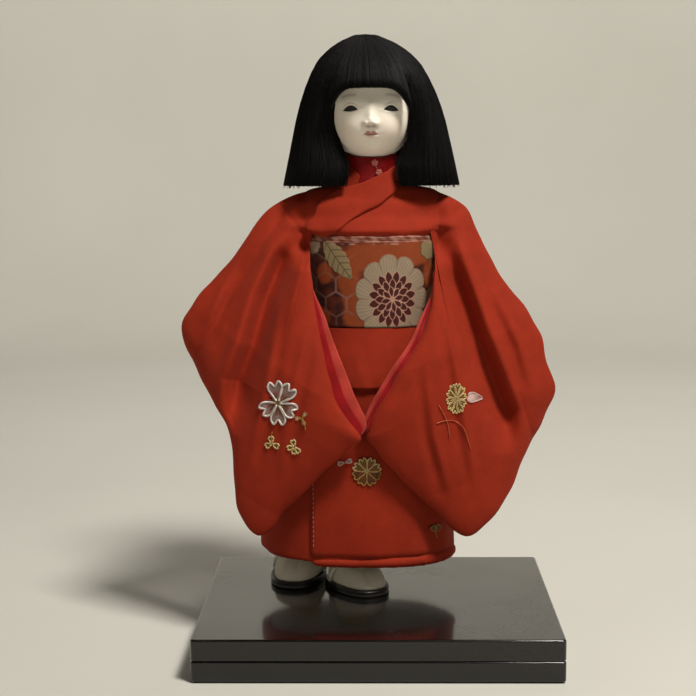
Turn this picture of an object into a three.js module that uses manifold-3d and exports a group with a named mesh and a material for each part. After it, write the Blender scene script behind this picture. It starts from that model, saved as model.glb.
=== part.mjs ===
// Ichimatsu doll in a long-sleeved kimono, standing on a lacquered stand.
// Millimetres, +Z up. The doll faces -Y, and the origin is the middle of the stand's underside.
// Left and right are the viewer's, seen from the front.
import * as THREE from "three";
import { mergeVertices } from "three/addons/utils/BufferGeometryUtils.js";
import Module from "manifold-3d";

const wasm = await Module();
wasm.setup();

// Clearances between pieces.
const fit = 0.3; // pieces that rest on or inside each other
const running = 0.4; // pieces that turn, lift or pull out

// Stand: a top board on four rails, with felt below.
const standWidth = 250;
const standDepth = 200;
const boardThickness = 15;
const boardEdge = 1; // rounded edge of the board
const railHeight = 14;
const railThickness = 16;
const feltThickness = 1;
const feltInset = 2;
const standHeight = feltThickness + railHeight + boardThickness;

// Support post: a steel rod through the board, held by a washer and a nut below it.
const postRadius = 3;
const postReach = 118; // above the board
const postX = -28;
const postY = 26;
const washerRadius = 9;
const washerThickness = 1.5;
const nutRadius = 6;
const nutThickness = 5;
const postTail = 2; // below the nut

// Where the doll stands on the board.
const dollX = -3.5;
const dollY = 30;

// Dressed body, from the board up: each length is stacked on the one before.
const hemRise = 27; // board to the kimono's hem
const skirtLength = 170; // hem to the obi's lower edge
const obiHeight = 65;
const yokeHeight = 20; // obi's upper edge to the shoulder line
const neckRise = 13; // shoulder line to the foot of the neck
const neckLength = 19.5; // foot of the neck to the under collar's top
const waistZ = hemRise + skirtLength;
const obiTopZ = waistZ + obiHeight;
const shoulderZ = obiTopZ + yokeHeight;
const neckZ = shoulderZ + neckRise;
const underCollarTopZ = neckZ + neckLength;

// Half widths and half depths of the padded body under the clothes.
const hemHalfWidth = 65.5;
const hemHalfDepth = 40;
const hemShift = -11.5; // the hem is set to one side
const hemStraight = 6; // the skirt is straight this far above its hem
const formMargin = 12; // the form goes on past the hem, and past the collar by a third of this
const kneeShare = 0.42; // of the skirt's length, up from the hem
const hipShare = 0.74;
const hipHalfWidth = 49;
const hipHalfDepth = 36;
const waistHalfWidth = 43;
const waistHalfDepth = 31;
const chestFlatten = 1; // the chest is this much wider and less deep than the waist
const shoulderHalfWidth = 52;
const shoulderHalfDepth = 22;
const neckRadius = 13;
const neckRoom = 2.2; // between the neck and the clothes
const neckFormRadius = neckRadius + neckRoom;
const neckFlare = 3; // at the foot of the neck
const boxy = 2.3; // the body is a little squarer than an ellipse, which is 2

// Cloth thicknesses, worn one over the other.
const underCloth = 1.5;
const kimonoCloth = 2;
const obiCloth = 3;
const collarCloth = 1.4;
const underInner = fit;
const underOuter = underInner + underCloth;
const kimonoInner = underOuter + fit;
const kimonoOuter = kimonoInner + kimonoCloth;
const wrapInner = kimonoOuter + fit;
const wrapOuter = wrapInner + kimonoCloth;
const obiOuter = wrapInner + obiCloth;
const lowerCollarOuter = wrapInner + collarCloth;
const upperCollarInner = lowerCollarOuter + fit;
const upperCollarOuter = upperCollarInner + collarCloth;

// Kimono details.
const waistFoldDrop = 43; // tucked fold below the obi
const waistFoldBulge = 2;
const skirtFoldDepth = 2.4;
const skirtFolds = 6; // around the sides and the back
const frontEdgeX = -46; // edge of the overlapping front
const frontReachY = 12; // how far round the side it goes
const hemRollRadius = 4.2;
const collarWidth = 21;
const collarSlope = 30; // degrees from the horizontal
const collarDrop = 4; // its seam crosses the middle this far below the shoulder line
const collarTopDrop = 5; // below the under collar's top

// Sleeves: a flat padded bag that hangs from each arm.
const sleeveWall = 2;
const sleeveSeam = 1; // the lining ends this far inside the cover
const sleeveEdge = 4; // half thickness at the outline
const sleeveFront = 11; // half thickness in the middle
const sleeveBack = 7;
const armBulge = 7; // extra round the arm
const armBulgeReach = 16;
const sleeveSweep = 52; // how far the free corner comes forward
const sleeveSweepReach = 45; // distance from the arm over which most of that happens
const sleeveFoldDepth = 5;
const sleeveFoldReach = 10;
const sleeveSplitX = -5.5; // where the two sleeves meet in front
const armholeGap = 1.4; // bodice's shoulder to the sleeve
const openDrop = 4; // the open side starts this far below the obi's upper edge
const openReach = 160; // and ends this far below the shoulder line

// Arms: a peg in the shoulder, a padded arm and a hand.
const armPegRadius = 4;
const armPegDepth = 14; // inside the shoulder
const armPegDrop = 2; // below the shoulder line
const armRadius = 5.5;
const wristRadius = 4.5;
const armReach = 10; // shoulder to the thick of the arm
const armY = -3;
const handLength = 20;
const handRadius = 5;

// Head, neck peg, eyes and hair.
const headHalfWidth = 31;
const headHalfDepth = 33;
const headHeight = 78;
const headForward = 3;
const headSquare = 2.3; // fuller at the jaw and the crown than an ellipse, which is 2
const headLevels = 11;
const chinGap = 2.6; // under collar to the chin
const noseHalfWidth = 3.6;
const noseHalfHeight = 6;
const noseLength = 3.5;
const noseSunk = 1; // its middle behind the skin
const noseRise = 24.5; // above the chin
const eyeRadius = 6;
const eyeSpacing = 28.4;
const eyeRise = 32.8; // above the chin
const eyeShow = 0.6; // how far the eyeball stands out of its socket
const pegRadius = 5;
const pegInTorso = 45;
const pegInHead = 50;
const hairRise = 1.5; // foot of the neck to the hair's cut end
const hairHeight = 106.4;
const hairHalfWidth = 64; // at the cut end
const hairHalfDepth = 48;
const hairBack = 3; // its middle lies behind the neck's axis
const hairLean = -4; // its crown lies to one side
const hairThickness = 13; // at the cut end
const hairHollowShare = 0.35; // of the hair's height is hollow
const fringeRise = 46.5; // above the chin
const faceHalfWidth = 26;
const faceGapFoot = 22; // half the gap between the hair's front edges at the cut end

// Legs, tabi socks and zori sandals. A foot is placed by its ankle and turned about it.
const feet = {
  left: { x: -55, y: 24, turn: -8, hip: -26 },
  right: { x: -17, y: 0, turn: 28, hip: 6 },
};
const legTop = 84; // above the hem
const legRadius = 12;
const ankleRadius = 8;
const soleThickness = 5;
const soleWidth = 42;
const toeReach = 42; // sole's tip in front of the ankle
const heelReach = 17;
const footWidth = 38;
const footInset = 3; // tabi inside the sole's edge
const footHeight = 14;
const tabiDrop = 2; // tabi's top below the hem
const tabiTopZ = hemRise - tabiDrop;
const tabiCloth = 2;
const toeSplit = 1.4;
const toeLift = 2; // the foot's widest level above the sole
const strapRadius = 1.5;
const strapForward = 16; // in front of the ankle
const strapLean = 2;
const strapSteps = 8;

// Obi bow at the back.
const bowRise = 48; // its middle above the waist
const wingLength = 36;
const wingHeight = 42;
const wingThickness = 12;
const wingEdge = 2;
const wingTuck = 4; // behind the knot's side
const knotWidth = 26;
const knotHeight = 36;
const knotThickness = 15;
const knotSag = 1; // its rounded foot below the corners
const tailWidth = 40;
const tailLength = 58;
const tailThickness = 4;
const tailTuck = 2; // its neck inside the knot's side

// Facets.
const ringPoints = 24;
const bowPoints = 20;
const knotPoints = 16;
const nutSides = 6;
const roundSides = 12;
const sleevePoints = 30;
const eyeSides = 10;
const eyeLevels = 6;
const mergeDistance = 1e-4;
const farAway = 600;

const finishes = {
  lacquer: { color: 0x161312, roughness: 0.18, metalness: 0 },
  steel: { color: 0x9a9a98, roughness: 0.35, metalness: 1 },
  felt: { color: 0x202020, roughness: 0.95, metalness: 0 },
  straw: { color: 0xb79b62, roughness: 0.9, metalness: 0 },
  shellWhite: { color: 0xeee6da, roughness: 0.45, metalness: 0 },
  crepe: { color: 0xa82a18, roughness: 0.8, metalness: 0 },
  lining: { color: 0xa3121c, roughness: 0.6, metalness: 0 },
  brocade: { color: 0xb8763a, roughness: 0.5, metalness: 0.2 },
  hair: { color: 0x141210, roughness: 0.4, metalness: 0 },
  glass: { color: 0x120a06, roughness: 0.08, metalness: 0 },
  cotton: { color: 0xe8e4da, roughness: 0.85, metalness: 0 },
  wood: { color: 0xc9a574, roughness: 0.6, metalness: 0 },
};

// Solids: joining and cutting.

const at = (x, y, z) => new THREE.Vector3(x, y, z);

function solidOf(geometry) {
  const bare = geometry.index ? geometry.toNonIndexed() : geometry.clone();
  bare.deleteAttribute("normal");
  bare.deleteAttribute("uv");
  const merged = mergeVertices(bare, mergeDistance);
  const mesh = new wasm.Mesh({
    numProp: 3,
    vertProperties: new Float32Array(merged.attributes.position.array),
    triVerts: new Uint32Array(merged.index.array),
  });
  return new wasm.Manifold(mesh);
}

function geometryOf(solid) {
  const mesh = solid.getMesh();
  const geometry = new THREE.BufferGeometry();
  geometry.setAttribute("position", new THREE.BufferAttribute(mesh.vertProperties, mesh.numProp));
  geometry.setIndex(new THREE.BufferAttribute(mesh.triVerts, 1));
  geometry.computeVertexNormals();
  return geometry;
}

function block(low, high) {
  const geometry = new THREE.BoxGeometry(high[0] - low[0], high[1] - low[1], high[2] - low[2]);
  geometry.translate((low[0] + high[0]) / 2, (low[1] + high[1]) / 2, (low[2] + high[2]) / 2);
  return solidOf(geometry);
}

// What lies between two heights.
function slice(solid, lowZ, highZ) {
  return solid.intersect(block([-farAway, -farAway, lowZ], [farAway, farAway, highZ]));
}

// A round bar between two points.
function bar(from, to, fromRadius, toRadius = fromRadius, sides = roundSides) {
  const span = new THREE.Vector3().subVectors(to, from);
  const geometry = new THREE.CylinderGeometry(toRadius, fromRadius, span.length(), sides);
  const upright = at(0, 1, 0);
  geometry.applyQuaternion(new THREE.Quaternion().setFromUnitVectors(upright, span.normalize()));
  geometry.translate((from.x + to.x) / 2, (from.y + to.y) / 2, (from.z + to.z) / 2);
  return solidOf(geometry);
}

function ellipsoid(middle, halfX, halfY, halfZ, sides = roundSides, levels = 8) {
  const geometry = new THREE.SphereGeometry(1, sides, levels);
  geometry.rotateX(Math.PI / 2);
  geometry.scale(halfX, halfY, halfZ);
  geometry.translate(middle.x, middle.y, middle.z);
  return solidOf(geometry);
}

// A flat outline in X and Z, carried straight back from one Y to another.
function plate(outline, fromY, toY) {
  const shape = new THREE.Shape(outline.map(([x, z]) => new THREE.Vector2(x, z)));
  const geometry = new THREE.ExtrudeGeometry(shape, { depth: toY - fromY, bevelEnabled: false });
  geometry.rotateX(Math.PI / 2);
  geometry.translate(0, toY, 0);
  return solidOf(geometry);
}

// A closed body through level rings of points, lowest first, each counter-clockwise seen from above.
function loft(rings) {
  const count = rings[0].length;
  const points = rings.flat();
  const index = [];
  for (let level = 0; level + 1 < rings.length; level++) {
    for (let i = 0; i < count; i++) {
      const a = level * count + i;
      const b = level * count + ((i + 1) % count);
      index.push(a, b, b + count, a, b + count, a + count);
    }
  }
  const middleOf = (ring) => ring.reduce((sum, point) => sum.add(point), at(0, 0, 0)).divideScalar(count);
  const foot = points.push(middleOf(rings[0])) - 1;
  const head = points.push(middleOf(rings[rings.length - 1])) - 1;
  const last = (rings.length - 1) * count;
  for (let i = 0; i < count; i++) {
    const next = (i + 1) % count;
    index.push(foot, next, i, head, last + i, last + next);
  }
  const geometry = new THREE.BufferGeometry().setFromPoints(points);
  geometry.setIndex(index);
  return solidOf(geometry);
}

// A level ring, a little squarer than an ellipse where square is over 2.
function ovalRing({ x = 0, y = 0, z, halfWidth, halfDepth, square = 2 }, ripple = () => 0) {
  const ring = [];
  for (let i = 0; i < ringPoints; i++) {
    const angle = (2 * Math.PI * i) / ringPoints;
    const c = Math.cos(angle);
    const s = Math.sin(angle);
    const across = Math.sign(c) * Math.abs(c) ** (2 / square);
    const along = Math.sign(s) * Math.abs(s) ** (2 / square);
    const out = ripple(angle, z);
    ring.push(at(x + (halfWidth + out) * across, y + (halfDepth + out) * along, z));
  }
  return ring;
}

// A soft flat bag: an outline in X and Z, counter-clockwise from the front, with a front and a back
// skin that stand off its middle surface. A share of 0 is the bag's centre and 1 is its outline.
function bag(outline, centre, middleY, frontOff, backOff) {
  const shares = [0.45, 0.8, 1];
  const count = outline.length;
  const points = [];
  const add = (share, x, z) => {
    const y = middleY(x, z);
    points.push(at(x, y - frontOff(share, x, z), z));
    points.push(at(x, y + backOff(share, x, z), z));
  };
  add(0, centre[0], centre[1]);
  for (const share of shares) {
    for (const [x, z] of outline) {
      add(share, centre[0] + share * (x - centre[0]), centre[1] + share * (z - centre[1]));
    }
  }
  const front = (ring, i) => 2 * (1 + ring * count + (i % count));
  const index = [];
  const last = shares.length - 1;
  for (let i = 0; i < count; i++) {
    const [first, second] = [front(0, i), front(0, i + 1)];
    index.push(0, first, second, 1, second + 1, first + 1);
    for (let ring = 0; ring < last; ring++) {
      const [a, b] = [front(ring, i), front(ring, i + 1)];
      const [d, c] = [front(ring + 1, i), front(ring + 1, i + 1)];
      index.push(a, d, c, a, c, b);
      index.push(a + 1, c + 1, d + 1, a + 1, b + 1, c + 1);
    }
    const [a, b] = [front(last, i), front(last, i + 1)];
    index.push(a, a + 1, b + 1, a, b + 1, b);
  }
  const geometry = new THREE.BufferGeometry().setFromPoints(points);
  geometry.setIndex(index);
  return solidOf(geometry);
}

// A smooth closed outline through a few corners.
function smoothOutline(corners, samples) {
  const points = corners.map(([x, z]) => at(x, 0, z));
  const curve = new THREE.CatmullRomCurve3(points, true, "centripetal");
  return Array.from({ length: samples }, (_, i) => {
    const { x, z } = curve.getPoint(i / samples);
    return [x, z];
  });
}

// Half thickness of a stuffed bag: full in the middle and easing to its edge.
function stuffed(edge, full) {
  return (share) => edge + (full - edge) * Math.sqrt(1 - share ** 3);
}

// Assembly.

const doll = new THREE.Group();
doll.position.set(dollX, dollY, standHeight);
const assembly = new THREE.Group();
assembly.add(doll);

function addMesh(parent, name, solid, finish) {
  const mesh = new THREE.Mesh(geometryOf(solid), new THREE.MeshStandardMaterial(finish));
  mesh.name = name;
  parent.add(mesh);
}

// Stand.

const onPost = (z) => at(dollX + postX, dollY + postY, z);

function topBoard() {
  const shape = new THREE.Shape();
  const x = standWidth / 2 - boardEdge;
  const y = standDepth / 2 - boardEdge;
  shape.moveTo(-x, -y);
  shape.lineTo(x, -y);
  shape.lineTo(x, y);
  shape.lineTo(-x, y);
  const geometry = new THREE.ExtrudeGeometry(shape, {
    depth: boardThickness - 2 * boardEdge,
    bevelThickness: boardEdge,
    bevelSize: boardEdge,
    bevelSegments: 3,
  });
  geometry.translate(0, 0, feltThickness + railHeight + boardEdge);
  return solidOf(geometry).subtract(bar(onPost(0), onPost(farAway), postRadius + fit));
}

function buildStand() {
  const x = standWidth / 2;
  const y = standDepth / 2;
  const low = feltThickness;
  const high = feltThickness + railHeight;
  const felt = block([feltInset - x, feltInset - y, 0], [x - feltInset, y - feltInset, feltThickness]);
  addMesh(assembly, "stand_felt", felt, finishes.felt);
  const innerY = y - railThickness - fit;
  const rails = {
    front: [[-x, -y], [x, -y + railThickness]],
    back: [[-x, y - railThickness], [x, y]],
    left: [[-x, -innerY], [-x + railThickness, innerY]],
    right: [[x - railThickness, -innerY], [x, innerY]],
  };
  for (const [name, [from, to]] of Object.entries(rails)) {
    addMesh(assembly, `stand_${name}_rail`, block([...from, low], [...to, high]), finishes.lacquer);
  }
  addMesh(assembly, "stand_top_board", topBoard(), finishes.lacquer);
}

function buildPost() {
  const boardFoot = feltThickness + railHeight - fit;
  const washerFoot = boardFoot - washerThickness;
  const nutTop = washerFoot - fit;
  const nutFoot = nutTop - nutThickness;
  const rod = bar(onPost(nutFoot - postTail), onPost(standHeight + postReach), postRadius);
  const hole = bar(onPost(0), onPost(farAway), postRadius + fit);
  const washer = bar(onPost(washerFoot), onPost(boardFoot), washerRadius);
  const nut = bar(onPost(nutFoot), onPost(nutTop), nutRadius, nutRadius, nutSides);
  addMesh(assembly, "support_post", rod, finishes.steel);
  addMesh(assembly, "post_washer", washer.subtract(hole), finishes.steel);
  addMesh(assembly, "post_nut", nut.subtract(hole), finishes.steel);
}

// Body: one padded form carries every layer of clothing.

const { lerp } = THREE.MathUtils;
const hipZ = hemRise + hipShare * skirtLength;
const bodySections = [
  {
    z: hemRise - formMargin,
    halfWidth: hemHalfWidth,
    halfDepth: hemHalfDepth,
    x: hemShift,
    square: boxy,
  },
  {
    z: hemRise + hemStraight,
    halfWidth: hemHalfWidth,
    halfDepth: hemHalfDepth,
    x: hemShift,
    square: boxy,
  },
  {
    z: hemRise + kneeShare * skirtLength,
    halfWidth: lerp(hemHalfWidth, hipHalfWidth, 0.45),
    halfDepth: lerp(hemHalfDepth, hipHalfDepth, 0.4),
    x: 0.6 * hemShift,
    square: boxy,
  },
  {
    z: hipZ,
    halfWidth: hipHalfWidth,
    halfDepth: hipHalfDepth,
    x: 0.2 * hemShift,
    square: boxy,
  },
  { z: waistZ, halfWidth: waistHalfWidth, halfDepth: waistHalfDepth, square: boxy },
  {
    z: obiTopZ,
    halfWidth: waistHalfWidth + chestFlatten,
    halfDepth: waistHalfDepth - chestFlatten,
    square: boxy,
  },
  {
    z: obiTopZ + 0.5 * yokeHeight,
    halfWidth: 0.94 * shoulderHalfWidth,
    halfDepth: lerp(waistHalfDepth, shoulderHalfDepth, 0.5),
    square: boxy,
  },
  { z: shoulderZ, halfWidth: shoulderHalfWidth, halfDepth: shoulderHalfDepth, square: boxy },
  {
    z: shoulderZ + 0.55 * neckRise,
    halfWidth: 0.84 * shoulderHalfWidth,
    halfDepth: neckFormRadius + neckFlare,
  },
  { z: neckZ, halfWidth: neckFormRadius + neckFlare, halfDepth: neckFormRadius + neckFlare / 2 },
  { z: underCollarTopZ + formMargin / 3, halfWidth: neckFormRadius, halfDepth: neckFormRadius },
];

// A section of the form moved outwards by a distance, square to the form's own slope.
function grownSection(i, grow) {
  const section = bodySections[i];
  const before = bodySections[Math.max(i - 1, 0)];
  const after = bodySections[Math.min(i + 1, bodySections.length - 1)];
  const rise = after.z - before.z;
  const wider = (after.halfWidth - before.halfWidth + after.halfDepth - before.halfDepth) / 2;
  const length = Math.hypot(rise, wider);
  return {
    ...section,
    halfWidth: section.halfWidth + (grow * rise) / length,
    halfDepth: section.halfDepth + (grow * rise) / length,
    z: section.z - (grow * wider) / length,
  };
}

function body(grow, ripple) {
  return loft(bodySections.map((_, i) => ovalRing(grownSection(i, grow), ripple)));
}

// A layer of cloth round the body, between two heights.
function cloth(inner, outer, lowZ, highZ, ripple) {
  return slice(body(outer, ripple).subtract(body(inner)), lowZ, highZ);
}

// Skirt folds run down the sides and the back from the hip, and deepen towards the hem.
function skirtRipple(angle, z) {
  const deepen = THREE.MathUtils.clamp((hipZ - z) / (hipZ - hemRise), 0, 1);
  const sidesAndBack = THREE.MathUtils.smoothstep(Math.sin(angle), -0.25, 0.25);
  return skirtFoldDepth * deepen * sidesAndBack * (0.5 + 0.5 * Math.cos(skirtFolds * angle));
}

// The tucked fold swells towards its lower edge.
function waistFoldRipple(angle, z) {
  return waistFoldBulge * THREE.MathUtils.clamp((waistZ - z) / waistFoldDrop, 0, 1);
}

// The hole that lets an arm's peg through the clothes and into the shoulder.
function armHole(side) {
  const z = shoulderZ - armPegDrop;
  const inside = side * (shoulderHalfWidth - armPegDepth - running);
  return bar(at(inside, armY, z), at(side * farAway, armY, z), armPegRadius + running);
}

function withArmHoles(solid) {
  return solid.subtract(armHole(-1)).subtract(armHole(1));
}

// A leg from its ankle up to the hip, grown for the hole that it sits in.
function leg({ x, y, hip }, grow) {
  const foot = at(x, y, soleThickness);
  const top = at(hip, 0, hemRise + legTop + grow);
  return slice(bar(foot, top, ankleRadius + grow, legRadius + grow), tabiTopZ + fit - grow, farAway);
}

function buildBody() {
  const pegHole = bar(at(0, 0, neckZ - pegInTorso - running), at(0, 0, farAway), pegRadius + running);
  const torso = slice(body(underOuter), waistZ, neckZ).subtract(pegHole);
  addMesh(doll, "torso_core", withArmHoles(torso), finishes.straw);

  let padding = slice(body(0), hemRise, waistZ - fit);
  for (const [side, foot] of Object.entries(feet)) {
    addMesh(doll, `${side}_leg`, leg(foot, 0), finishes.wood);
    padding = padding.subtract(leg(foot, fit));
  }
  const postTop = postReach + running;
  padding = padding.subtract(bar(at(postX, postY, 0), at(postX, postY, postTop), postRadius + running));
  addMesh(doll, "skirt_padding", padding, finishes.cotton);
}

// A diagonal band across the chest that goes on round the back of the neck. Side is where it starts.
function collar(inner, outer, side) {
  const slope = THREE.MathUtils.degToRad(collarSlope);
  const along = new THREE.Vector2(side * Math.cos(slope), Math.sin(slope)).multiplyScalar(farAway);
  const across = new THREE.Vector2(-side * Math.sin(slope), Math.cos(slope)).multiplyScalar(collarWidth);
  const seamZ = shoulderZ - collarDrop;
  const band = [
    [along.x, seamZ + along.y],
    [along.x + across.x, seamZ + along.y + across.y],
    [across.x - along.x, seamZ - along.y + across.y],
    [-along.x, seamZ - along.y],
  ];
  const front = plate(band, -farAway, 0);
  const [left, right] = side > 0 ? [fit / 2, farAway] : [-farAway, -fit / 2];
  const back = block([left, -fit, neckZ], [right, farAway, farAway]);
  const layer = cloth(inner, outer, obiTopZ + fit, underCollarTopZ - collarTopDrop);
  return layer.intersect(front.add(back));
}

// The hem's padded roll follows the front panel's lower edge.
function hemRoll() {
  const section = grownSection(1, (wrapInner + wrapOuter) / 2);
  const z = hemRise + fit;
  const ring = ovalRing({ ...section, z }).filter((point) => point.y < frontReachY - hemRollRadius);
  const points = ring.filter((point) => point.x > frontEdgeX).sort((a, b) => a.x - b.x);
  const shape = new THREE.Shape();
  shape.absarc(0, 0, hemRollRadius, 0, 2 * Math.PI, false);
  const geometry = new THREE.ExtrudeGeometry(shape, {
    steps: points.length + 4,
    extrudePath: new THREE.CatmullRomCurve3(points),
    bevelEnabled: false,
    curveSegments: 3,
  });
  return solidOf(geometry);
}

function buildKimono() {
  const { crepe, lining } = finishes;
  addMesh(doll, "under_skirt", cloth(underInner, underOuter, hemRise, waistZ - fit), lining);
  addMesh(doll, "under_collar", cloth(underInner, underOuter, neckZ + fit, underCollarTopZ), lining);
  addMesh(doll, "kimono_skirt", cloth(kimonoInner, kimonoOuter, hemRise, waistZ - fit, skirtRipple), crepe);
  addMesh(doll, "kimono_bodice", withArmHoles(cloth(kimonoInner, kimonoOuter, waistZ, neckZ + fit)), crepe);

  const foldFoot = waistZ - waistFoldDrop;
  const panelFoot = hemRise + fit + hemRollRadius + fit;
  const panelArea = block([frontEdgeX, -farAway, panelFoot], [farAway, frontReachY, foldFoot - fit]);
  const panel = cloth(wrapInner, wrapOuter, panelFoot, foldFoot - fit).intersect(panelArea);
  addMesh(doll, "front_panel", panel.subtract(body(kimonoOuter + fit, skirtRipple)), crepe);
  addMesh(doll, "hem_roll", hemRoll().subtract(body(kimonoOuter + fit, skirtRipple)), crepe);
  addMesh(doll, "waist_fold", cloth(wrapInner, wrapOuter, foldFoot, waistZ - fit, waistFoldRipple), crepe);
  addMesh(doll, "lower_collar", collar(wrapInner, lowerCollarOuter, -1), crepe);
  addMesh(doll, "upper_collar", collar(upperCollarInner, upperCollarOuter, 1), crepe);
}

// Obi: a band and a bow at the back.

function buildObi() {
  addMesh(doll, "obi_band", cloth(wrapInner, obiOuter, waistZ, obiTopZ), finishes.brocade);
  const obiBackY = waistHalfDepth - (chestFlatten * bowRise) / obiHeight + obiOuter;
  const middleZ = waistZ + bowRise;
  const knotY = obiBackY + fit + knotThickness / 2;
  const [x, z] = [knotWidth / 2, knotHeight / 2];
  const knotCorners = [[-x, -z], [0, -z], [x, -z], [0.85 * x, 0], [x, z], [0, z], [-x, z], [-0.85 * x, 0]];
  const knotOutline = smoothOutline(knotCorners.map(([a, b]) => [a, middleZ + b]), knotPoints);
  const knotHalf = stuffed(knotThickness / 4, knotThickness / 2);
  const knot = bag(knotOutline, [0, middleZ], () => knotY, knotHalf, knotHalf);
  addMesh(doll, "obi_knot", knot, finishes.brocade);

  const wingHalf = stuffed(wingEdge, wingThickness / 2);
  const knotRoom = block(
    [-knotWidth / 2 - fit, -farAway, middleZ - knotHeight / 2 - fit],
    [knotWidth / 2 + fit, farAway, middleZ + knotHeight / 2 + fit],
  );
  for (const [name, side] of [["left", -1], ["right", 1]]) {
    const inner = knotWidth / 2 - wingTuck;
    const tip = knotWidth / 2 + wingLength;
    const corners = [
      [inner, -0.2 * wingHeight],
      [0.6 * tip, -0.5 * wingHeight],
      [tip, -0.42 * wingHeight],
      [tip, 0.42 * wingHeight],
      [0.6 * tip, 0.5 * wingHeight],
      [inner, 0.2 * wingHeight],
    ];
    const placed = corners.map(([a, b]) => [side * a, middleZ + b]);
    const outline = smoothOutline(side > 0 ? placed : placed.reverse(), bowPoints);
    const wing = bag(outline, [side * 0.6 * tip, middleZ], () => knotY, wingHalf, wingHalf);
    addMesh(doll, `obi_${name}_wing`, wing.subtract(knotRoom), finishes.brocade);
  }

  const [t, neck] = [tailWidth / 2, knotWidth / 2 - tailTuck];
  const top = middleZ - knotHeight / 2 - knotSag - fit;
  const shoulder = Math.min(top, middleZ - wingHeight / 2 - knotSag - fit);
  const tailOutline = [
    [-t, top - tailLength],
    [t, top - tailLength],
    [t, shoulder],
    [neck, shoulder],
    [neck, top],
    [-neck, top],
    [-neck, shoulder],
    [-t, shoulder],
  ];
  const tail = plate(tailOutline, knotY - tailThickness / 2, knotY + tailThickness / 2);
  addMesh(doll, "obi_tail", tail, finishes.brocade);
}

// Feet.

// A long foot-shaped outline round the ankle, with a round toe and heel.
function footShape(width, inset) {
  const half = width / 2;
  const shape = new THREE.Shape();
  shape.absarc(0, heelReach - inset - half, half, 0, Math.PI, false);
  shape.absarc(0, -(toeReach - inset - half), half, Math.PI, 2 * Math.PI, false);
  return shape;
}

const footLength = toeReach + heelReach - 2 * footInset;
const footLow = soleThickness + fit;

function footForm(grow) {
  const widest = at(0, (heelReach - toeReach) / 2, footLow + toeLift);
  const half = { x: footWidth / 2 + grow, y: footLength / 2 + grow, z: footHeight - toeLift + grow };
  return ellipsoid(widest, half.x, half.y, half.z, 16, 10);
}

function tabi() {
  const ankle = bar(at(0, 0, footLow), at(0, 0, tabiTopZ), ankleRadius + tabiCloth);
  const split = block(
    [footWidth / 6 - toeSplit / 2, -farAway, 0],
    [footWidth / 6 + toeSplit / 2, -toeReach + footInset + 0.22 * footLength, farAway],
  );
  return slice(footForm(0).add(ankle).subtract(split), footLow, tabiTopZ);
}

function zori() {
  const geometry = new THREE.ExtrudeGeometry(footShape(soleWidth, 0), {
    depth: soleThickness,
    bevelEnabled: false,
    curveSegments: 8,
  });
  return solidOf(geometry);
}

// The strap arches over the foot from one edge of the sole to the other.
function zoriStrap() {
  const reach = soleWidth / 2 - strapRadius;
  const rise = footHeight + strapRadius + fit;
  const points = Array.from({ length: strapSteps + 1 }, (_, i) => {
    const angle = (Math.PI * i) / strapSteps;
    const height = Math.sin(angle) ** 0.6;
    const y = -strapForward - strapLean * height;
    return at(-reach * Math.cos(angle), y, footLow + rise * height);
  });
  const ring = new THREE.Shape();
  ring.absarc(0, 0, strapRadius, 0, 2 * Math.PI, false);
  const geometry = new THREE.ExtrudeGeometry(ring, {
    steps: 2 * strapSteps,
    extrudePath: new THREE.CatmullRomCurve3(points),
    bevelEnabled: false,
    curveSegments: 3,
  });
  return slice(solidOf(geometry), footLow, farAway).subtract(footForm(fit));
}

function buildFeet() {
  for (const [side, { x, y, turn }] of Object.entries(feet)) {
    const foot = new THREE.Group();
    foot.position.set(x, y, 0);
    foot.rotation.z = THREE.MathUtils.degToRad(turn);
    addMesh(foot, `${side}_tabi`, tabi(), finishes.cotton);
    addMesh(foot, `${side}_zori`, zori(), finishes.lacquer);
    addMesh(foot, `${side}_zori_strap`, zoriStrap(), finishes.cotton);
    doll.add(foot);
  }
}

// Head.

const chinZ = underCollarTopZ + chinGap;
const headMiddle = at(0, -headForward, chinZ + headHeight / 2);

// Share of the head's full girth at a share of its half height, up or down from its middle.
function headGirth(up) {
  return (1 - Math.min(Math.abs(up), 1) ** headSquare) ** (1 / headSquare);
}

function headForm(grow) {
  const levels = Array.from({ length: headLevels }, (_, i) => {
    const tilt = ((i + 0.4) / (headLevels - 0.2) - 0.5) * Math.PI;
    return Math.sin(tilt);
  });
  return loft(
    levels.map((up) =>
      ovalRing({
        y: headMiddle.y,
        z: headMiddle.z + up * (headHeight / 2 + grow),
        halfWidth: headGirth(up) * (headHalfWidth + grow),
        halfDepth: headGirth(up) * (headHalfDepth + grow),
      }),
    ),
  );
}

// The Y of the face's skin at a place on it.
function faceY(x, z) {
  const across = x / headHalfWidth;
  const girth = headGirth((z - headMiddle.z) / (headHeight / 2));
  return headMiddle.y - headHalfDepth * Math.sqrt(girth ** 2 - across ** 2);
}

function eyeMiddle(side) {
  const x = (side * eyeSpacing) / 2;
  const z = chinZ + eyeRise;
  return at(x, faceY(x, z) + eyeRadius - eyeShow, z);
}

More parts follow.
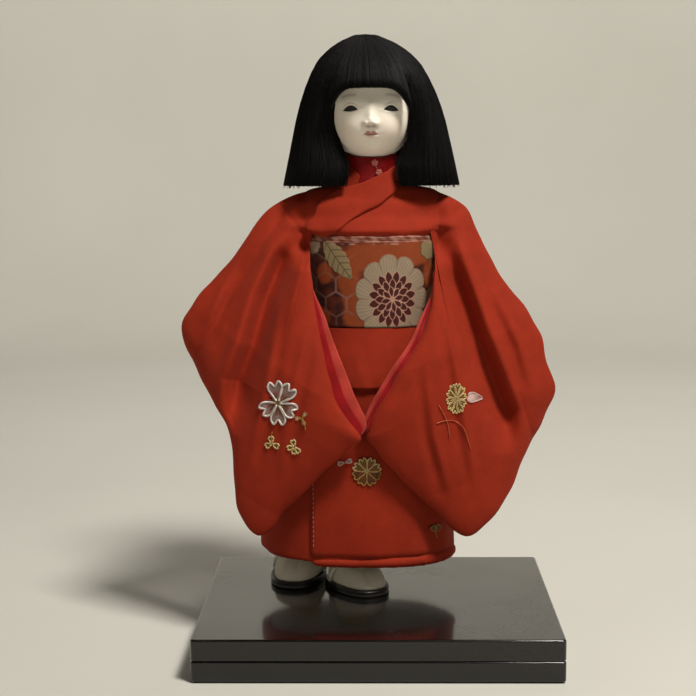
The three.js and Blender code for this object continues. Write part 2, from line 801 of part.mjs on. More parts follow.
function hair() {
  const footZ = neckZ + hairRise;
  // Each row: the height, then the half width and the half depth, as shares of those at the cut end.
  const shape = [
    [0, 1, 1],
    [0.18, 0.925, 0.99],
    [0.4, 0.84, 0.97],
    [0.6, 0.745, 0.91],
    [0.71, 0.67, 0.83],
    [0.82, 0.56, 0.69],
    [0.92, 0.38, 0.47],
    [0.97, 0.22, 0.28],
    [1, 0.06, 0.08],
  ];
  const ring = ([rise, width, depth], thickness = 0) =>
    ovalRing({
      x: rise * hairLean,
      y: hairBack,
      z: footZ + rise * hairHeight,
      halfWidth: width * hairHalfWidth - thickness,
      halfDepth: depth * hairHalfDepth - thickness,
    });
  const outside = loft(shape.map((row) => ring(row)));
  const inside = loft([
    ring([-0.05, 1, 1], hairThickness),
    ring([0, 1, 1], hairThickness),
    ring([hairHollowShare, 0.8, 0.88], hairThickness),
  ]);
  const [foot, cheek] = [faceGapFoot, faceHalfWidth];
  const fringeZ = chinZ + fringeRise;
  const faceOutline = [
    [-foot, footZ - hairThickness],
    [foot, footZ - hairThickness],
    [cheek, chinZ + 0.45 * fringeRise],
    [cheek, chinZ + 0.8 * fringeRise],
    [0.75 * cheek, fringeZ - 1],
    [0, fringeZ],
    [-0.75 * cheek, fringeZ - 1],
    [-cheek, chinZ + 0.8 * fringeRise],
    [-cheek, chinZ + 0.45 * fringeRise],
  ];
  const faceOpening = plate(faceOutline, -farAway, headMiddle.y);
  const neckWay = bar(at(0, 0, 0), headMiddle, neckRadius + fit);
  return outside.subtract(inside).subtract(headForm(fit)).subtract(faceOpening).subtract(neckWay);
}

function buildHead() {
  const pegTop = neckZ + pegInHead;
  const peg = bar(at(0, 0, neckZ - pegInTorso), at(0, 0, pegTop), pegRadius);
  addMesh(doll, "neck_peg", peg, finishes.wood);
  const neck = bar(at(0, 0, neckZ + fit), at(0, 0, headMiddle.z), neckRadius, neckRadius, 16);
  const noseZ = chinZ + noseRise;
  const noseMiddle = at(0, faceY(0, noseZ) + noseSunk, noseZ);
  const nose = ellipsoid(noseMiddle, noseHalfWidth, noseLength, noseHalfHeight, eyeSides, eyeLevels);
  const bore = bar(at(0, 0, 0), at(0, 0, pegTop + running), pegRadius + running);
  let head = headForm(0).add(neck).add(nose).subtract(bore);
  for (const [name, side] of [["left", -1], ["right", 1]]) {
    const middle = eyeMiddle(side);
    const [r, socket] = [eyeRadius, eyeRadius + fit];
    head = head.subtract(ellipsoid(middle, socket, socket, socket, eyeSides, eyeLevels));
    addMesh(doll, `${name}_eye`, ellipsoid(middle, r, r, r, eyeSides, eyeLevels), finishes.glass);
  }
  addMesh(doll, "head", head, finishes.shellWhite);
  addMesh(doll, "hair", hair(), finishes.hair);
}

// Arms and sleeves. The outlines run from the shoulder round the cuff corner, the lowest corner and
// the free corner in front, as distances out from the middle and up from the shoulder line.

const armholeX = shoulderHalfWidth + kimonoOuter + armholeGap;
const armSides = {
  left: {
    side: -1,
    handAt: [116, -20, -79],
    centre: [72, -130],
    fold: [[98, -40], [111, -118], [105, -195]],
    corners: [
      [48, 14], [72, -1], [100, -37], [130, -71], [136, -83], [135, -96], [117, -131], [103, -154],
      [99, -177], [98, -199], [95, -217], [81, -233], [58, -211], [31, -182], [8, -161], [13, -145],
      [20, -130], [31, -96], [40, -57], [45, -28], [48, -16],
    ],
  },
  right: {
    side: 1,
    handAt: [96, -19, -89],
    centre: [64, -130],
    fold: [[76, -50], [94, -118], [101, -181]],
    corners: [
      [48, 14], [67, -1], [76, -19], [94, -53], [109, -72], [121, -92], [125, -112], [132, -130],
      [126, -148], [112, -175], [95, -210], [82, -226], [67, -235], [48, -220], [19, -190], [-4, -161],
      [1, -146], [17, -118], [33, -93], [42, -65], [46, -29], [48, -16],
    ],
  },
};

// Distance of a point in X and Z from a line through two others, and its place along that line.
function alongLine(x, z, from, to) {
  const span = new THREE.Vector2(to[0] - from[0], to[1] - from[1]);
  const rest = new THREE.Vector2(x - from[0], z - from[1]);
  const length = span.length();
  return { along: rest.dot(span) / length, off: rest.cross(span) / length, length };
}

function sleeveForms({ side, handAt, centre, fold, corners }) {
  const shoulder = [armholeX + armReach, shoulderZ - armPegDrop];
  const hand = [handAt[0], shoulderZ + handAt[2]];
  const place = ([out, up]) => [side * out, shoulderZ + up];
  const placed = corners.map(place);
  const outline = smoothOutline(side > 0 ? placed.reverse() : placed, sleevePoints);
  const middle = place(centre);

  // The cloth follows the arm and sweeps forward the further it hangs from it.
  const middleY = (x, z) => {
    const { along, off, length } = alongLine(side * x, z, shoulder, hand);
    const share = THREE.MathUtils.clamp(along / length, 0, 1);
    const onArm = armY + share * (handAt[1] - armY);
    const ease = 1 - 0.5 * THREE.MathUtils.clamp(along / (2 * length), 0, 1);
    const hang = Math.max(off - armRadius, 0) / sleeveSweepReach;
    return onArm - sleeveSweep * ease * (1 - Math.exp(-hang));
  };
  const bulge = (x, z) => {
    const { off } = alongLine(side * x, z, shoulder, hand);
    return armBulge * Math.exp(-((off / armBulgeReach) ** 2));
  };
  const foldLine = fold.map(([out, up]) => [out, shoulderZ + up]);
  const valley = (share, x, z) => {
    const upper = z > foldLine[1][1] ? 0 : 1;
    const { off } = alongLine(side * x, z, foldLine[upper], foldLine[upper + 1]);
    return (1 - share) * sleeveFoldDepth * Math.exp(-((off / sleeveFoldReach) ** 2));
  };
  const form = (inset, rim) => {
    const front = stuffed(sleeveEdge, sleeveFront);
    const back = stuffed(sleeveEdge, sleeveBack);
    const moved = outline.map(([x, z]) => {
      const away = new THREE.Vector2(x - middle[0], z - middle[1]);
      away.setLength(away.length() + rim(x, z));
      return [middle[0] + away.x, middle[1] + away.y];
    });
    return bag(
      moved,
      middle,
      middleY,
      (share, x, z) => front(share) + bulge(x, z) - valley(share, x, z) - inset,
      (share, x, z) => back(share) + bulge(x, z) - inset,
    );
  };
  return form;
}

// Each sleeve keeps to its own side, outside the armhole or in front of the body.
function sleeveLimits(side) {
  const split = sleeveSplitX + side * fit;
  const ownSide = block(
    [side > 0 ? split : -farAway, -farAway, -farAway],
    [side > 0 ? farAway : split, farAway, farAway],
  );
  const chest = block([-armholeX, -farAway, obiTopZ], [armholeX, farAway, farAway]);
  return ownSide.subtract(chest).subtract(body(upperCollarOuter + fit));
}

function buildArm(name, options) {
  const { side, handAt } = options;
  const armZ = shoulderZ - armPegDrop;
  const start = at(side * (armholeX + armReach), armY, armZ);
  const wrist = at(side * handAt[0], handAt[1], shoulderZ + handAt[2]);
  const peg = at(side * (shoulderHalfWidth - armPegDepth), armY, armZ);
  const reach = new THREE.Vector3().subVectors(wrist, start).normalize();
  const handMiddle = wrist.clone().addScaledVector(reach, handLength / 2 + fit);

  const armSolid = (grow) =>
    bar(start, wrist.clone().addScaledVector(reach, grow), armRadius + grow, wristRadius + grow)
      .add(ellipsoid(start, armRadius + grow, armRadius + grow, armRadius + grow))
      .add(bar(peg, start, armPegRadius + grow));
  const handSolid = (grow) => {
    const from = handMiddle.clone().addScaledVector(reach, -handLength / 2 - grow);
    const to = handMiddle.clone().addScaledVector(reach, handLength / 2 + grow);
    return bar(from, handMiddle, 0.7 * handRadius + grow, handRadius + grow)
      .add(bar(handMiddle, to, handRadius + grow, 0.4 * handRadius + grow));
  };
  addMesh(doll, `${name}_arm`, armSolid(0), finishes.wood);
  addMesh(doll, `${name}_hand`, handSolid(0), finishes.shellWhite);

  // The side towards the body is left open, so the lining shows there.
  const form = sleeveForms(options);
  const limits = sleeveLimits(side);
  const openLow = shoulderZ - openReach;
  const openHigh = obiTopZ - openDrop;
  const openEdge = (x, z) => side * x < armholeX && z < openHigh && z > openLow;
  const innerRim = (x, z) => (openEdge(x, z) ? sleeveWall : -sleeveWall - sleeveSeam);
  const liningRim = (x, z) => (openEdge(x, z) ? -sleeveSeam : -sleeveWall - sleeveSeam - fit);
  const hollow = form(sleeveWall, innerRim);
  const cover = form(0, () => 0).subtract(hollow).subtract(armSolid(fit)).subtract(handSolid(fit));
  addMesh(doll, `${name}_sleeve`, cover.intersect(limits), finishes.crepe);
  const lining = form(sleeveWall + 2 * fit, liningRim).subtract(armSolid(fit)).subtract(handSolid(fit));
  addMesh(doll, `${name}_inner_sleeve`, lining.intersect(limits), finishes.lining);
}

buildStand();
buildPost();
buildBody();
buildKimono();
buildObi();
buildFeet();
buildHead();
for (const [name, options] of Object.entries(armSides)) {
  buildArm(name, options);
}

export default assembly;
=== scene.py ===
import math

import bpy
import numpy as np
from mathutils import Matrix, Vector


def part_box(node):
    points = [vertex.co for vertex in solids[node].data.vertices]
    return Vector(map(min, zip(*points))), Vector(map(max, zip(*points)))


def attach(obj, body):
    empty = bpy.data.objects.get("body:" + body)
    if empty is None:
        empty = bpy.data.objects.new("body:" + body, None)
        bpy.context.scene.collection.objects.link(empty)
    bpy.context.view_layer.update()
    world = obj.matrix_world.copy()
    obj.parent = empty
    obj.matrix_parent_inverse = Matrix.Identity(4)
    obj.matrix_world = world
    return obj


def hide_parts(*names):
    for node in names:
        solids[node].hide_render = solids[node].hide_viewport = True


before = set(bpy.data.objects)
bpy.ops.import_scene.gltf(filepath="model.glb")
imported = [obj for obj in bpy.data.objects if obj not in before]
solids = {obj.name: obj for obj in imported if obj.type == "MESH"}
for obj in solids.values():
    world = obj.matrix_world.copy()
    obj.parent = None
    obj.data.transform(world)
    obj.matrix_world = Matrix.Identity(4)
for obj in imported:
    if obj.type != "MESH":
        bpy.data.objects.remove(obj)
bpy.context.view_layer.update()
pegLow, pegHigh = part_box("neck_peg")
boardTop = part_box("stand_top_board")[1].z
dollX, dollY = (pegLow.x + pegHigh.x) / 2, (pegLow.y + pegHigh.y) / 2
dollAt = 1000 * np.array([dollX, dollY, boardTop])  # mm, foot of the doll's axis
print("frame loaded:", len(solids), "solids, doll at", dollAt.round(1))

scene = bpy.context.scene
scene.view_settings.view_transform = "Standard"

# view and light

view = {"at": (0.000541, -1.039, 0.355335), "down": 7.874, "aside": 1.16, "roll": -0.377, "lens": 76.17}
camera = bpy.data.objects.new("camera", bpy.data.cameras.new("camera"))
scene.collection.objects.link(camera)
camera.data.lens = view["lens"]
camera.data.sensor_width = 36
camera.matrix_world = (
    Matrix.Translation(view["at"])
    @ Matrix.Rotation(math.radians(view["aside"]), 4, "Z")
    @ Matrix.Rotation(math.radians(90 - view["down"]), 4, "X")
    @ Matrix.Rotation(math.radians(view["roll"]), 4, "Z")
)
scene.camera = camera


def linear(red, green, blue):
    # a colour as seen on a screen, 0 to 255, turned into linear light
    seen = np.array([red, green, blue]) / 255
    made = np.where(seen <= 0.04045, seen / 12.92, ((seen + 0.055) / 1.055) ** 2.4)
    return tuple(float(c) for c in made) + (1.0,)


def ink(red, green, blue):
    # the same for painting points: linear light without the alpha
    return np.array(linear(red, green, blue)[:3])


dollMiddle = (0.0, 0.02, 0.24)
lamps = {  # place and aim in metres, size, power and tint
    "key": ((0.56, -0.66, 1.68), dollMiddle, 0.36, 34.5, (1.0, 0.96, 0.9)),
    "side": ((-1.2, -0.6, 0.7), dollMiddle, 0.8, 0.4, (1.0, 0.98, 0.95)),
    "wall": ((0.1, 0.75, 1.5), (0.05, 2.0, 0.35), 0.9, 10.0, (1.0, 0.97, 0.92)),
}
for name, (at, aim, size, power, tint) in lamps.items():
    light = bpy.data.lights.new(name, "AREA")
    light.size = size
    light.energy = power
    light.color = tint
    holder = bpy.data.objects.new(name, light)
    holder.location = at
    holder.rotation_euler = (Vector(aim) - Vector(at)).to_track_quat("-Z", "Y").to_euler()
    scene.collection.objects.link(holder)
scene.world = bpy.data.worlds.new("room")
scene.world.use_nodes = True
sky = scene.world.node_tree.nodes["Background"]
sky.inputs["Color"].default_value = linear(226, 223, 214)
sky.inputs["Strength"].default_value = 0.03

# shared working


def ease(low, high, value):
    # 0 below low, 1 above high, and a smooth step between
    share = np.clip((value - low) / (high - low), 0, 1)
    return share * share * (3 - 2 * share)


def bell(value, middle, reach):
    # 1 at the middle, falling off on both sides as exp of minus the square of the distance in reaches
    return np.exp(-(((value - middle) / reach) ** 2))


def cubic(first, last, slopeFirst, slopeLast, step, t):
    # a cubic piece from one value to the next, which leaves and arrives with the given slopes
    return (
        first * (1 + 2 * t) * (1 - t) ** 2
        + last * t * t * (3 - 2 * t)
        + step * (slopeFirst * t * (1 - t) ** 2 - slopeLast * t * t * (1 - t))
    )


def curveThrough(at, places, values):
    # a smooth curve through a table that never overshoots it: cubic pieces,
    # each slope the harmonic mean of its neighbours'
    places, values = np.asarray(places, float), np.asarray(values, float)
    rise = np.diff(values) / np.diff(places)
    same = rise[:-1] * rise[1:] > 0
    total = np.where(same, rise[:-1] + rise[1:], 1)
    slopes = np.concatenate([rise[:1], np.where(same, 2 * rise[:-1] * rise[1:] / total, 0), rise[-1:]])
    at = np.clip(at, places[0], places[-1])
    i = np.clip(np.searchsorted(places, at, side="right") - 1, 0, len(places) - 2)
    step = places[i + 1] - places[i]
    return cubic(values[i], values[i + 1], slopes[i], slopes[i + 1], step, (at - places[i]) / step)


def walkedAlong(points):
    # the length walked to each point of a line
    return np.concatenate([[0], np.cumsum(np.linalg.norm(np.diff(points, axis=0), axis=1))])


def rounded(corners, count, closed=False):
    # a curve through corner points, read at even lengths: cubic pieces by the root of chord length,
    # each tangent from the points on both sides
    corners = np.asarray(corners, float)
    if closed:
        corners = np.concatenate([corners[-2:], corners, corners[:3]])
    chord = np.sqrt(np.linalg.norm(np.diff(corners, axis=0), axis=1))
    place = np.concatenate([[0], np.cumsum(chord)])
    slopes = np.gradient(corners, place, axis=0)
    first, last = (place[2], place[-3]) if closed else (place[0], place[-1])
    fine = np.linspace(first, last, 12 * count)

    def read(at):
        # the cubic piece that each place lies on
        i = np.clip(np.searchsorted(place, at, side="right") - 1, 0, len(place) - 2)
        step = (place[i + 1] - place[i])[:, None]
        t = (at - place[i])[:, None] / step
        return cubic(corners[i], corners[i + 1], slopes[i], slopes[i + 1], step, t)

    length = walkedAlong(read(fine))
    wanted = np.linspace(0, length[-1], count, endpoint=not closed)
    return read(np.interp(wanted, length, fine))


def sway(at, pitches, shifts):
    # a slow uneven wave between about -1 and 1: the mean of sines of several pitches
    return np.mean([np.sin(2 * np.pi * at / p + s) for p, s in zip(pitches, shifts)], axis=0)


def blotch(across, up, size, shift=0.0):
    # smooth patches between about -1 and 1: sines of two crossing directions multiplied and summed
    a, b = across / size, up / size
    return 0.5 * (
        np.sin(2.1 * a + 1.3 * b + shift) * np.sin(1.7 * b - 0.9 * a + 2.1 * shift)
        + np.sin(3.7 * a - 2.9 * b + 1.7 + shift) * np.sin(2.3 * a + 4.1 * b - shift)
    )


def unit(rows):
    # vectors divided by their lengths
    return rows / (np.linalg.norm(rows, axis=-1)[..., None] + 1e-9)


def heading(degrees):
    # cosine and sine of a turn
    return np.array([math.cos(math.radians(degrees)), math.sin(math.radians(degrees))])


def pointsOf(x, y, z):
    # points from three coordinates, each a grid, a row or column of one, or a number
    return np.stack(np.broadcast_arrays(x, y, z), -1)


def middleOf(points):
    # the mean of a grid's points
    return points.reshape(-1, 3).mean(0)


def gridCells(rows, columns, roundColumns=False):
    # four corner numbers for each cell of a grid whose columns may close on themselves
    i, j = np.indices((rows - 1, columns if roundColumns else columns - 1))
    on = (j + 1) % columns
    low, high = i * columns, (i + 1) * columns
    return np.stack([low + j, low + on, high + on, high + j], -1).reshape(-1, 4)


def addMesh(name, points, cells, inside=None, uv=None, paint=None, marks=None, place=dollAt):
    # a mesh from points, in mm from the doll's foot, and sets of equal-sided faces,
    # which are all turned over where most of them look towards the inside point
    points = np.asarray(points, float).reshape(-1, 3)
    if inside is not None:
        a, b, c = (points[cells[0][:, k]] for k in range(3))
        away = np.einsum("ij,ij->i", np.cross(b - a, c - a), (a + b + c) / 3 - np.asarray(inside, float))
        if away.sum() < 0:
            cells = [faces[:, ::-1] for faces in cells]
    corners = np.concatenate([faces.ravel() for faces in cells]).astype(np.int32)
    sizes = np.concatenate([np.full(len(faces), faces.shape[1]) for faces in cells])
    mesh = bpy.data.meshes.new(name)
    mesh.vertices.add(len(points))
    mesh.vertices.foreach_set("co", ((points + place) / 1000).astype(np.float32).ravel())
    mesh.loops.add(len(corners))
    mesh.loops.foreach_set("vertex_index", corners)
    mesh.polygons.add(len(sizes))
    mesh.polygons.foreach_set("loop_start", np.concatenate([[0], np.cumsum(sizes)[:-1]]).astype(np.int32))
    mesh.update(calc_edges=True)
    mesh.polygons.foreach_set("use_smooth", np.ones(len(sizes), bool))
    if uv is not None:
        layer = mesh.uv_layers.new(name="cloth")
        layer.data.foreach_set("uv", np.asarray(uv, np.float32).reshape(-1, 2)[corners].ravel())
    if paint is not None:
        colours = np.ones((len(points), 4), np.float32)
        colours[:, :3] = np.asarray(paint).reshape(-1, 3)
        layer = mesh.color_attributes.new("paint", "FLOAT_COLOR", "POINT")
        layer.data.foreach_set("color", colours.ravel())
    for mark, amounts in (marks or {}).items():
        layer = mesh.attributes.new(mark, "FLOAT", "POINT")
        layer.data.foreach_set("value", np.asarray(amounts, np.float32).ravel())
    mesh.validate()
    piece = bpy.data.objects.new(name, mesh)
    scene.collection.objects.link(piece)
    return piece


def addGrid(name, points, roundColumns=False, capFirst=False, capLast=False, marks=None, **rest):
    # a mesh from a grid of points, its first and last rows closed by a fan round their middle where asked
    rows, columns = points.shape[:2]
    here = np.arange(columns)
    onward = np.roll(here, -1)
    closedRows, fans = [], []
    for wanted, start, near, far in (
        (capFirst, 0, onward, here),
        (capLast, (rows - 1) * columns, here, onward),
    ):
        if wanted:
            pole = np.full(columns, rows * columns + len(fans))
            fans.append(np.stack([pole, start + near, start + far], -1))
            closedRows.append(start + here)

    def withPoles(values):
        # a value for each point, and for each fan's pole the mean of its row
        values = np.reshape(values, (rows * columns, -1))
        return np.concatenate([values] + [values[row].mean(0)[None] for row in closedRows])

    layers = {key: withPoles(rest.pop(key)) for key in ("uv", "paint") if key in rest}
    layers["marks"] = {key: withPoles(amounts) for key, amounts in (marks or {}).items()}
    cells = [gridCells(rows, columns, roundColumns)] + fans
    return addMesh(name, withPoles(points), cells, **layers, **rest)


def addClosed(name, points, **rest):
    # a grid that closes round and has both its end rows filled
    return addGrid(name, points, True, True, True, **rest)


def addTubes(name, middle, thick, corners, away, broad=1.0, **rest):
    # tubes along rows of places: rings square to each row, sized by thick, and a flat end on each
    count, steps = middle.shape[:2]
    onward = unit(np.gradient(middle, axis=1))
    sideways = unit(np.cross(onward, away))
    lifted = np.cross(sideways, onward)
    turn = np.pi / 2 + 2 * np.pi * np.arange(corners)[:, None] / corners
    around = broad * np.cos(turn) * sideways[:, :, None] + np.sin(turn) * lifted[:, :, None]
    points = middle[:, :, None] + thick[..., None, None] * around
    starts = (np.arange(count) * steps * corners)[:, None, None]
    cells = (gridCells(steps, corners, True)[:, ::-1] + starts).reshape(-1, 4)
    ends = np.stack([np.arange(corners), (np.arange(corners) + (steps - 1) * corners)[::-1]])
    return addMesh(name, points, [cells, (ends + starts).reshape(-1, corners)], **rest)


def dress(piece, finish, body, slotName, *stoodFor):
    # gives a new piece its finish and its body, and hides the solids that it stands for; slotName is not used
    piece.data.materials.append(finish)
    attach(piece, body)
    if stoodFor:
        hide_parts(*stoodFor)
    return piece


def thicken(piece, wall):
    # cloth thickness, added on the inner side
    wallMaker = piece.modifiers.new("cloth", "SOLIDIFY")
    wallMaker.thickness = wall / 1000
    wallMaker.offset = -1
    return piece


# finishes


def wire(node, **inputs):
    # gives a node its inputs, by name or as i0, i1 by number: a socket is linked, anything else is set
    for key, value in inputs.items():
        isNumber = key[0] == "i" and key[1:].isdigit()
        socket = node.inputs[int(key[1:]) if isNumber else key.replace("_", " ")]
        if isinstance(value, bpy.types.NodeSocket):
            node.id_data.links.new(value, socket)
        else:
            socket.default_value = value
    return node


def put(tree, kind, settings=None, **inputs):
    # adds a node with its settings and its inputs
    node = tree.nodes.new(kind)
    for key, value in (settings or {}).items():
        setattr(node, key, value)
    return wire(node, **inputs)


def newGroup(name, inputs, outputs):
    # an empty node group with named number inputs and their starting values, and named outputs
    tree = bpy.data.node_groups.new(name, "ShaderNodeTree")
    for label, value in inputs.items():
        tree.interface.new_socket(label, in_out="INPUT", socket_type="NodeSocketFloat").default_value = value
    for label in outputs:
        tree.interface.new_socket(label, in_out="OUTPUT", socket_type="NodeSocketFloat")
    return tree, tree.nodes.new("NodeGroupInput").outputs, tree.nodes.new("NodeGroupOutput")


def mathOf(tree, operation, first, second=0.0):
    # one sum on two numbers
    return put(tree, "ShaderNodeMath", {"operation": operation}, i0=first, i1=second).outputs[0]


def product(tree, first, second):
    # two numbers multiplied
    return mathOf(tree, "MULTIPLY", first, second)


def objectPlace(tree):
    # each point's place in the piece
    return put(tree, "ShaderNodeTexCoord").outputs["Object"]


def scaledPlace(tree, where, scale):
    # a place stretched along each axis
    return put(tree, "ShaderNodeMapping", Vector=where, Scale=scale).outputs[0]


def noiseOf(tree, where, scale, detail, rough=0.5, bent=0.0):
    # cloudy noise between 0 and 1
    settings = {"Scale": scale, "Detail": detail, "Roughness": rough, "Distortion": bent}
    return put(tree, "ShaderNodeTexNoise", Vector=where, **settings).outputs[0]


def spread(tree, value, low, high, first=0.0, last=1.0):
    # a value between low and high spread evenly between first and last, and held there beyond
    return put(tree, "ShaderNodeMapRange", i0=value, i1=low, i2=high, i3=first, i4=last).outputs[0]


# crepe grain: fine pebbles over a crossing twist of threads, with slow blotches of dye
crepeGrain, given, taken = newGroup("crepeGrain", {"Pebbles": 2300.0, "Blotch": 55.0}, ["Height", "Shade"])
where = objectPlace(crepeGrain)
pebbles = noiseOf(crepeGrain, where, given["Pebbles"], 2.0, 0.6)
twist = noiseOf(crepeGrain, scaledPlace(crepeGrain, where, (0.55, 0.55, 0.16)), given["Pebbles"], 1.0)
patches = noiseOf(crepeGrain, where, given["Blotch"], 4.0, 0.65)
mixed = mathOf(crepeGrain, "ADD", product(crepeGrain, pebbles, 0.6), product(crepeGrain, twist, 0.4))
dye = spread(crepeGrain, patches, 0.3, 0.7, 0.86, 1.1)
fleck = spread(crepeGrain, mixed, 0.35, 0.65, 0.88, 1.1)
wire(taken, Height=mixed, Shade=product(crepeGrain, dye, fleck))

# woven threads: fine ribs along the cloth's own map, each a little lighter or darker than the next
wovenThread, given, taken = newGroup("wovenThread", {"Pitch": 0.45, "Slub": 0.25}, ["Height", "Shade"])
clothPlace = put(wovenThread, "ShaderNodeUVMap", {"uv_map": "cloth"}).outputs[0]
split = put(wovenThread, "ShaderNodeSeparateXYZ", i0=clothPlace).outputs
turns = mathOf(wovenThread, "DIVIDE", 6.2832, given["Pitch"])
ribs = mathOf(wovenThread, "SINE", product(wovenThread, split[1], turns))
picks = mathOf(wovenThread, "SINE", product(wovenThread, split[0], product(wovenThread, turns, 0.5)))
weave = mathOf(wovenThread, "ADD", product(wovenThread, ribs, 0.35), product(wovenThread, picks, 0.15))
lines = noiseOf(wovenThread, scaledPlace(wovenThread, clothPlace, (0.25, 3.0, 1.0)), 1.0, 2.0)
uneven = product(wovenThread, mathOf(wovenThread, "SUBTRACT", lines, 0.5), given["Slub"])
shade = mathOf(wovenThread, "ADD", product(wovenThread, uneven, 2.0), 1.0)
wire(taken, Height=mathOf(wovenThread, "ADD", weave, 0.5), Shade=shade)

# hand wear: slow smears and fine specks that dull a polished face
handWear, given, taken = newGroup("handWear", {"Smears": 14.0, "Specks": 900.0}, ["Smear", "Speck"])
smears = noiseOf(handWear, objectPlace(handWear), given["Smears"], 5.0, 0.6, 0.6)
specks = noiseOf(handWear, objectPlace(handWear), given["Specks"], 1.0)
wire(taken, Smear=spread(handWear, smears, 0.35, 0.7), Speck=spread(handWear, specks, 0.66, 0.76))

# fibre: short crossing hairs of felt, wadding, cotton and wood, drawn out along one direction
fibreGrain, given, taken = newGroup("fibreGrain", {"Fineness": 700.0, "Stretch": 1.0}, ["Height", "Shade"])
stretch = put(fibreGrain, "ShaderNodeCombineXYZ", i0=1.0, i1=1.0, i2=given["Stretch"]).outputs[0]
where = objectPlace(fibreGrain)
pulled = put(fibreGrain, "ShaderNodeVectorMath", {"operation": "MULTIPLY"}, i0=where, i1=stretch).outputs[0]
hairs = noiseOf(fibreGrain, pulled, given["Fineness"], 5.0, 0.75, 1.2)
wire(taken, Height=hairs, Shade=spread(fibreGrain, hairs, 0.3, 0.7, 0.8, 1.12))


def newFinish(name):
    # a new material with its node tree and shader
    finish = bpy.data.materials.new(name)
    finish.use_nodes = True
    return finish, finish.node_tree, finish.node_tree.nodes["Principled BSDF"]


def useGroup(tree, group, **values):
    # the outputs of a shared group, put into a material
    return put(tree, "ShaderNodeGroup", {"node_tree": group}, **values).outputs


def times(tree, colour, shade):
    # a colour multiplied by a grey
    grey = put(tree, "ShaderNodeCombineColor", Red=shade, Green=shade, Blue=shade).outputs[0]
    kind = {"data_type": "RGBA", "blend_type": "MULTIPLY"}
    return put(tree, "ShaderNodeMix", kind, i0=1.0, i6=colour, i7=grey).outputs[2]


def between(tree, share, first, second):
    # one colour turning into another
    return put(tree, "ShaderNodeMix", {"data_type": "RGBA"}, i0=share, i6=first, i7=second).outputs[2]


def reach(tree, value, low, high):
    # a 0 to 1 value spread between two numbers
    return spread(tree, value, 0.0, 1.0, low, high)


def bumpOf(tree, height, strength, depth):
    # a surface raised by a height, with its full depth in mm
    return put(tree, "ShaderNodeBump", Height=height, Strength=strength, Distance=depth / 1000).outputs[0]


def paintOf(tree):
    # the colour painted on the points
    return put(tree, "ShaderNodeVertexColor", {"layer_name": "paint"}).outputs[0]


def markOf(tree, name):
    # a number marked on the points
    return put(tree, "ShaderNodeAttribute", {"attribute_name": name}).outputs["Fac"]


def crepeFinish(name, colour, rough, sheen, sheenTint):
    # matte crepe: dye blotches in the colour, pebbled bump, soft sheen along the turn of a fold
    finish, tree, shader = newFinish(name)
    grain = useGroup(tree, crepeGrain)
    wire(
        shader,
        Base_Color=times(tree, colour, grain["Shade"]),
        Roughness=reach(tree, grain["Height"], rough - 0.08, rough + 0.1),
        Normal=bumpOf(tree, grain["Height"], 0.35, 0.25),
        Sheen_Weight=sheen,
        Sheen_Roughness=0.45,
        Sheen_Tint=sheenTint,
        Specular_IOR_Level=0.16,
    )
    return finish


def threadFinish(name, rough, metal, pitch):
    # woven or sewn thread: painted colour broken up by ribs, metallic where the mark says gilt
    finish, tree, shader = newFinish(name)
    thread = useGroup(tree, wovenThread, Pitch=pitch)
    gilt = markOf(tree, "gilt")
    wire(
        shader,
        Base_Color=times(tree, paintOf(tree), thread["Shade"]),
        Metallic=product(tree, gilt, metal),
        Roughness=mathOf(tree, "SUBTRACT", rough, product(tree, gilt, 0.22)),
        Normal=bumpOf(tree, thread["Height"], 0.4, 0.15),
        Sheen_Weight=0.03,
        Specular_IOR_Level=0.25,
    )
    return finish


def fibreFinish(name, colour, dark, rough, fineness, stretched, depth):
    # felt, wadding, cotton or wood: two depths of a colour mixed along fibres that also raise the surface
    finish, tree, shader = newFinish(name)
    height = useGroup(tree, fibreGrain, Fineness=fineness, Stretch=stretched)["Height"]
    wire(
        shader,
        Base_Color=between(tree, height, dark, colour),
        Roughness=reach(tree, height, rough + 0.08, rough - 0.08),
        Normal=bumpOf(tree, height, 0.5, depth),
    )
    return finish


def polishFinish(name, colour, dust, rough, coat, **more):
    # lacquer, steel or glass: an even colour, smears in the polish and a few pale specks of dust
    finish, tree, shader = newFinish(name)
    wear = useGroup(tree, handWear)
    wire(
        shader,
        Base_Color=between(tree, product(tree, wear["Speck"], 0.1), colour, dust),
        Roughness=reach(tree, wear["Smear"], rough, rough * 1.9),
        Coat_Weight=coat,
        Coat_Roughness=0.1,
        **more,
    )
    return finish


redCrepe = crepeFinish("redCrepe", linear(146, 40, 18), 0.8, 0.1, (1.0, 0.4, 0.28, 1.0))
crimsonSilk = crepeFinish("crimsonSilk", linear(144, 13, 18), 0.5, 0.2, (1.0, 0.5, 0.5, 1.0))
roseSilk = crepeFinish("roseSilk", linear(178, 59, 48), 0.6, 0.2, (1.0, 0.7, 0.65, 1.0))
deepSilk = crepeFinish("deepSilk", linear(120, 10, 13), 0.45, 0.1, (1.0, 0.4, 0.35, 1.0))
brocade = threadFinish("brocade", 0.6, 0.45, 0.5)
blossomThread = threadFinish("blossomThread", 0.5, 0.4, 0.5)
lacquerLook = {"name": "blackLacquer", "colour": linear(13, 11, 11), "dust": linear(150, 146, 138)}
blackLacquer = polishFinish(**lacquerLook, rough=0.16, coat=1.0, Specular_IOR_Level=0.1)
zoriLacquer = polishFinish("zoriLacquer", linear(19, 14, 13), linear(96, 88, 82), 0.3, 0.1)
eyeGlass = polishFinish("eyeGlass", linear(9, 5, 4), linear(16, 11, 9), 0.3, 0.0)
plainSteel = polishFinish("plainSteel", linear(176, 176, 172), linear(120, 116, 110), 0.22, 0.0, Metallic=1.0)
blackFelt = fibreFinish("blackFelt", linear(38, 38, 38), linear(12, 12, 12), 0.92, 900.0, 1.0, 0.4)
